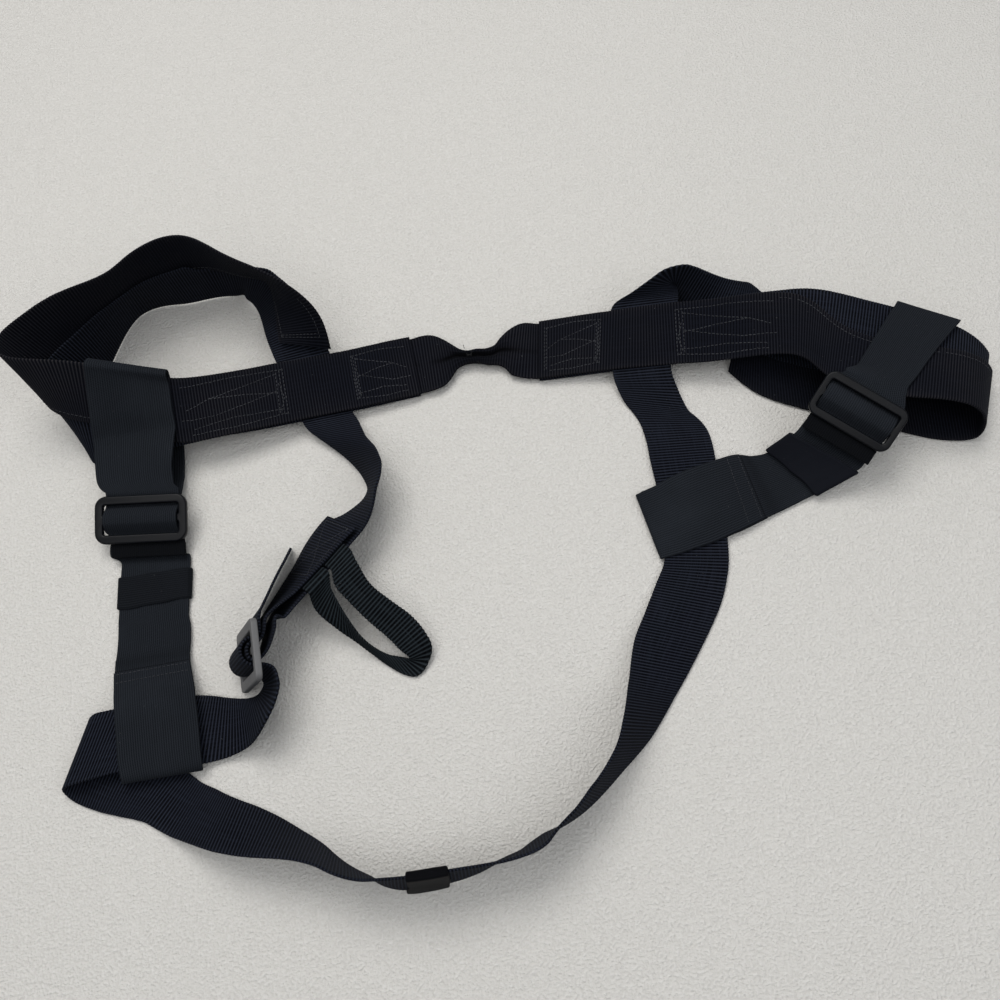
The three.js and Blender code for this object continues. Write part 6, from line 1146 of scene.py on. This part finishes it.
def slider(name, node, width, height, thick, side, rail, bar, corner, centre, x_axis, y_axis,
           material, slot, bevel=1.4):
    """Three-bar slide: a rounded plate with two windows and rolled edges.

    side, rail and bar are the widths of the end pieces, outer bars and middle bar.
    """
    curve = bpy.data.curves.new(name, 'CURVE')
    curve.dimensions = '2D'
    curve.fill_mode = 'BOTH'
    # outlines are set in by the bevel, which grows them back to size
    win_x = width / 2 - side
    win_y0, win_y1 = bar / 2, height / 2 - rail
    add_outline(curve, -width / 2 + bevel, -height / 2 + bevel, width / 2 - bevel,
                height / 2 - bevel, corner - bevel * 0.5)
    for y0, y1 in ((win_y0, win_y1), (-win_y1, -win_y0)):
        add_outline(curve, -win_x - bevel, y0 - bevel, win_x + bevel, y1 + bevel, 1.6 + bevel)
    curve.extrude = (thick / 2 - bevel) * MM
    curve.bevel_depth = bevel * MM
    curve.bevel_resolution = 4
    temp = bpy.data.objects.new(name + '_tmp', curve)
    bpy.context.scene.collection.objects.link(temp)
    bpy.context.view_layer.update()
    depsgraph = bpy.context.evaluated_depsgraph_get()
    mesh = bpy.data.meshes.new_from_object(temp.evaluated_get(depsgraph))
    bpy.data.objects.remove(temp)

    bm = bmesh.new()
    bm.from_mesh(mesh)
    bmesh.ops.remove_doubles(bm, verts=bm.verts, dist=2e-6)
    bmesh.ops.recalc_face_normals(bm, faces=bm.faces)
    # outer bars a touch thicker in the middle
    for vert in bm.verts:
        x, y = vert.co.x / MM, vert.co.y / MM
        if abs(y) > win_y1 - 0.2:
            vert.co.z *= 1 + 0.05 * math.cos(math.pi * x / width)
    bm.to_mesh(mesh)
    bm.free()
    mesh.materials.clear()
    mesh.name = name
    ob = link_smooth(name, mesh, material)

    x_dir, y_dir = Vector(x_axis), Vector(y_axis)
    x_dir.normalize()
    y_dir = (y_dir - x_dir * y_dir.dot(x_dir)).normalized()
    placement = Matrix((x_dir, y_dir, x_dir.cross(y_dir))).transposed().to_4x4()
    placement.translation = Vector(centre) * MM
    mesh.transform(placement)
    register(ob, 'belt', [node], slot)


slider('left_slider_piece', 'left_slider', width=69.5, height=36.0, thick=4.6, side=6.3,
       rail=6.8, bar=5.2, corner=8.0, centre=(-282.8, 41.98, 18.0),
       x_axis=(0.99483, -0.10156, 0.0), y_axis=(0.09753, 0.95534, 0.27894),
       material=BLACK_PLASTIC, slot='black_plastic')
slider('right_slider_piece', 'right_slider', width=64.5, height=35, thick=4.4, side=5.0,
       rail=6.5, bar=5.2, corner=7.0, centre=(246.42, 33.19, 45.9),
       x_axis=(0.74677, -0.65908, -0.08909), y_axis=(0.62556, 0.65058, 0.4306),
       material=BLACK_PLASTIC, slot='black_plastic')
slider('waist_slider_piece', 'waist_slider', width=65, height=42, thick=4.6, side=6.7,
       rail=7.5, bar=5.6, corner=5.0, centre=(-202.15, -77.5, 31.5),
       x_axis=(0.41884, -0.07708, 0.90478), y_axis=(0.03562, -0.99423, -0.10119),
       material=GREY_PLASTIC, slot='grey_plastic', bevel=0.95)

# ------------------------------------------------------------------ thread
# One stitch: fraction along it, radius factor, height factor (sunk at both ends).
STITCH_PROFILE = [(0.0, 0.25, -0.45), (0.10, 0.75, -0.12), (0.28, 1.0, 0.08), (0.5, 1.0, 0.14),
                  (0.72, 1.0, 0.08), (0.90, 0.75, -0.12), (1.0, 0.25, -0.45)]
STITCH_SIDES = 6


def add_stitch(verts, faces, start, end, radius, up, flatness=0.7):
    """Append one short rounded thread from start to end."""
    span = end - start
    along = span / np.linalg.norm(span)
    across = np.cross(up, along)
    across /= np.linalg.norm(across)
    up = np.cross(along, across)
    first = len(verts)
    for fraction, size, height in STITCH_PROFILE:
        centre = start + span * fraction + up * (height * radius * 1.6)
        for k in range(STITCH_SIDES):
            angle = 2 * math.pi * (k + 0.5) / STITCH_SIDES
            verts.append(centre + across * math.cos(angle) * radius * size
                         + up * math.sin(angle) * radius * size * flatness)
    faces += [[i + first for i in face]
              for face in ring_faces(len(STITCH_PROFILE), STITCH_SIDES)]


def thread_object(name, verts, faces, material):
    ob = make_object(name, verts, faces, material)
    face_outward(ob)
    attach(ob, 'belt')
    return ob


def stitches(name, node, path, lines, side, lift, pitch, radius, seed, skip=0.0,
             material=THREAD):
    """Rows of stitches along lines of (station row, fraction across), lift mm off the path.

    side is +1 or -1 along the path's normal; skip is the share of stitches left out.
    """
    rng = np.random.default_rng(seed)
    verts, faces = [], []
    for line in lines:
        corner = np.arange(len(line))
        t = np.linspace(0, len(line) - 1, 60 * len(line))
        row, v = interp_points(t, corner, np.array(line, float)).T
        points, normals = path.at(row, v)
        s = np.r_[0, np.cumsum(np.linalg.norm(np.diff(points, axis=0), axis=1))]
        count = max(1, int(round(s[-1] / pitch)))
        for i in range(count):
            if rng.uniform() < skip:
                continue
            a, b = s[-1] * (i + 0.13) / count, s[-1] * (i + 0.87) / count
            start, end = interp_points(a, s, points), interp_points(b, s, points)
            normal = interp_points((a + b) / 2, s, normals) * side
            normal /= np.linalg.norm(normal)
            sideways = np.cross(normal, end - start)
            sideways = sideways / max(np.linalg.norm(sideways), 1e-9)
            stray_start, stray_end = rng.uniform(-0.22, 0.22, 2)
            add_stitch(verts, faces, start + normal * lift + sideways * stray_start,
                       end + normal * lift + sideways * stray_end,
                       radius * rng.uniform(0.88, 1.12), normal)
    ob = thread_object(name, verts, faces, material)
    if node:
        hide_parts(node)


# Sewn panel: polylines of (0 open end .. 1 dense end, 0 .. 1 across the panel).
PANEL = [
    [(0.02, 0.08), (0.5, 0.02), (1, 0.05)], [(0.08, 0.98), (0.5, 0.99), (1, 0.93)],
    [(0.05, 0.52), (0.28, 0.36), (0.93, 0.12)], [(0.28, 0.36), (0.6, 0.40), (0.93, 0.5)],
    [(0.0, 0.70), (0.32, 0.70), (0.93, 0.46)], [(0.1, 0.88), (0.5, 0.80), (0.95, 0.84)],
    [(1, 0.02), (1, 0.97)], [(0.968, 0.05), (0.962, 0.95)], [(0.93, 0.08), (0.925, 0.92)],
    [(0.945, 0.3), (0.985, 0.62), (0.94, 0.88)]]
OPEN_END_COLUMNS = [[(0.0, 0.03), (0.0, 0.99)], [(0.035, 0.05), (0.03, 0.96)]]


def panel(open_row, dense_row, pattern=PANEL):
    low, high = 0.09, 0.91
    return [[(open_row + (dense_row - open_row) * x, low + (high - low) * y) for x, y in line]
            for line in pattern]


def crossed_box(a, b, low=0.1, high=0.9):
    return [[(a, low), (b, low)], [(a, high), (b, high)], [(a, low), (a, high)],
            [(b, low), (b, high)], [(a, low), (b, high)], [(a, high), (b, low)]]


def crosswise(*rows):
    return [[(row, 0.03), (row, 0.97)] for row in rows]


WEB_LIFT = WEB_T / 2 + 0.12
HEM_LIFT = ELASTIC_T / 2 + 0.1
SEAM_LIFT = HEM_LIFT + 1.45

for part, path, side, lines, seed in (
        ('left_yoke', left_front, 1, panel(0.5, 5.4), 1),
        ('left_shoulder', left_front, 1, panel(20.2, 11.4), 2),
        ('right_yoke', right_front, -1, panel(0.5, 5.4, PANEL + OPEN_END_COLUMNS), 3),
        ('right_shoulder', right_front, -1, panel(20.4, 12.0), 4)):
    stitches(part + '_stitching', part + '_stitch', path, lines, side, WEB_LIFT, pitch=3.1,
             radius=0.36, seed=seed)
stitches('left_loop_seam_stitching', 'left_loop_seam', left_front, [[(21.0, 0.9), (57.4, 0.9)]],
         1, WEB_LIFT, pitch=3.3, radius=0.28, seed=5, skip=0.06)
stitches('left_loop_seam_inner', None, left_front, [[(24.0, 0.9), (57.4, 0.9)]],
         -1, WEB_LIFT, pitch=3.3, radius=0.26, seed=15, skip=0.08)
stitches('right_loop_seam_stitching', 'right_loop_seam', right_front,
         [[(20.6, 0.1), (57, 0.12)]], -1, WEB_LIFT, pitch=3.3, radius=0.28, seed=6, skip=0.06)
stitches('left_patch_stitching', 'left_patch_stitch', left_front,
         [[(60.2, 0.92), (64.3, 0.92)], [(64.25, 0.94), (64.25, 0.14)],
          [(64.0, 0.92), (64.0, 0.2)], [(61.0, 0.14), (64.3, 0.16)]],
         -1, WEB_LIFT, pitch=3.0, radius=0.3, seed=7)
stitches('waist_end_stitching', 'waist_end_stitch', left_back,
         crossed_box(LEFT_BACK_END - 5.4, LEFT_BACK_END - 0.4), -1, WEB_LIFT, pitch=3.2,
         radius=0.28, seed=8)
for name, node, path, rows, side, lift, seed in (
        ('left_elastic_seam_stitching', 'left_elastic_seam', left_elastic,
         (LEFT_SEAM_ROW, 77.60), 1, SEAM_LIFT, 9),
        ('right_elastic_seam_stitching', 'right_elastic_seam', right_elastic,
         (55.39, RIGHT_SEAM_ROW), 1, SEAM_LIFT, 10),
        ('left_hem_stitching', 'left_hem_stitch', left_elastic, (0.7,), -1, HEM_LIFT, 11),
        ('right_hem_stitching', 'right_hem_stitch', right_elastic, (0.7,), -1, HEM_LIFT, 12)):
    stitches(name, node, path, crosswise(*rows), side, lift, pitch=3.0, radius=0.26, seed=seed)
zigzag = [(YOKE_WAIST - 0.3 + 0.6 * k / 8, 0.34 if k % 2 else 0.66) for k in range(9)]
stitches('yoke_bar_tack_thread', 'yoke_bar_tack', yoke, [zigzag], -1, lift=2.6, pitch=4.6,
         radius=0.34, seed=13, material=DARK_THREAD)

# Rows past the yoke's waist, fraction across, then reach (mm) across, up and along.
LOOSE_ENDS = [(-0.3, 0.02, -3.4, 1.2, 0.5), (0.9, 0.98, 2.6, 0.6, 1.2), (0.3, 0.5, -1.5, 2.4, 1.0)]


def loose_threads():
    """Three bent thread ends sticking out at the yoke's waist."""
    verts, faces = [], []
    for past, v, out, rise, lean in LOOSE_ENDS:
        row = YOKE_WAIST + past
        points, normals = yoke.at(np.array([row, row + 0.5]), np.array([v, v]))
        edges, _ = yoke.at(np.array([row, row]), np.array([0.0, 1.0]))
        across, along = unit(edges[1] - edges[0]), unit(points[1] - points[0])
        up = -normals[0] / np.linalg.norm(normals[0])
        base = points[0] + up * 2.4
        bend = base + across * out * 0.5 + up * rise * 0.7 + along * lean * 0.2
        tip = base + across * out + up * rise + along * lean
        for start, end in ((base, bend), (bend, tip)):
            add_stitch(verts, faces, start, end, 0.26, up, flatness=1.0)
    thread_object('yoke_loose_threads', verts, faces, DARK_THREAD)


loose_threads()


# ------------------------------------------------------------------ floor, light, camera (m)
def floor():
    """Square sheet a hair below z = 0."""
    half, z = 4.0, -0.0002
    mesh = bpy.data.meshes.new('floor')
    corners = [(x * half, y * half, z) for y in (-1, 1) for x in (-1, 1)]
    mesh.from_pydata(corners, [], [(0, 1, 3, 2)])
    ob = bpy.data.objects.new('floor', mesh)
    bpy.context.scene.collection.objects.link(ob)
    mesh.materials.append(floor_material())


def area_light(name, location, size, power, color):
    """Rectangular light aimed at the origin; size is (x, y)."""
    light = bpy.data.lights.new(name, 'AREA')
    light.shape = 'RECTANGLE'
    light.size, light.size_y = size
    light.energy = power
    light.color = color
    ob = bpy.data.objects.new(name, light)
    ob.location = location
    ob.rotation_euler = (-Vector(location)).to_track_quat('-Z', 'Y').to_euler()
    bpy.context.scene.collection.objects.link(ob)


def world():
    soft = bpy.data.worlds.new('soft_studio')
    soft.use_nodes = True
    background = soft.node_tree.nodes['Background']
    background.inputs['Color'].default_value = (0.93, 0.96, 1.0, 1)
    background.inputs['Strength'].default_value = 0.34
    bpy.context.scene.world = soft


def camera():
    """Looks down from the -y side."""
    data = bpy.data.cameras.new('camera')
    data.sensor_width = 36
    data.lens = 35.1
    data.clip_start = 0.01
    ob = bpy.data.objects.new('camera', data)
    bpy.context.scene.collection.objects.link(ob)
    right, up, back = ((0.98979, -0.13251, -0.05245), (0.14251, 0.92032, 0.36429),
                       (0.0, -0.36805, 0.92981))
    position = (-0.01600, -0.24800, 0.685)
    ob.matrix_world = Matrix((*zip(right, up, back, position), (0, 0, 0, 1)))
    bpy.context.scene.camera = ob


floor()
area_light('key', (-0.35, 1.0, 2.1), size=(1.7, 1.1), power=44, color=(1.0, 0.985, 0.96))
area_light('fill', (1.0, -0.6, 1.7), size=(1.4, 1.4), power=12, color=(0.95, 0.97, 1.0))
area_light('top', (-0.6, -0.5, 2.0), size=(1.6, 1.6), power=16, color=(1, 1, 1))
world()
camera()
bpy.context.scene.view_settings.view_transform = 'Standard'
bpy.context.scene.view_settings.look = 'None'
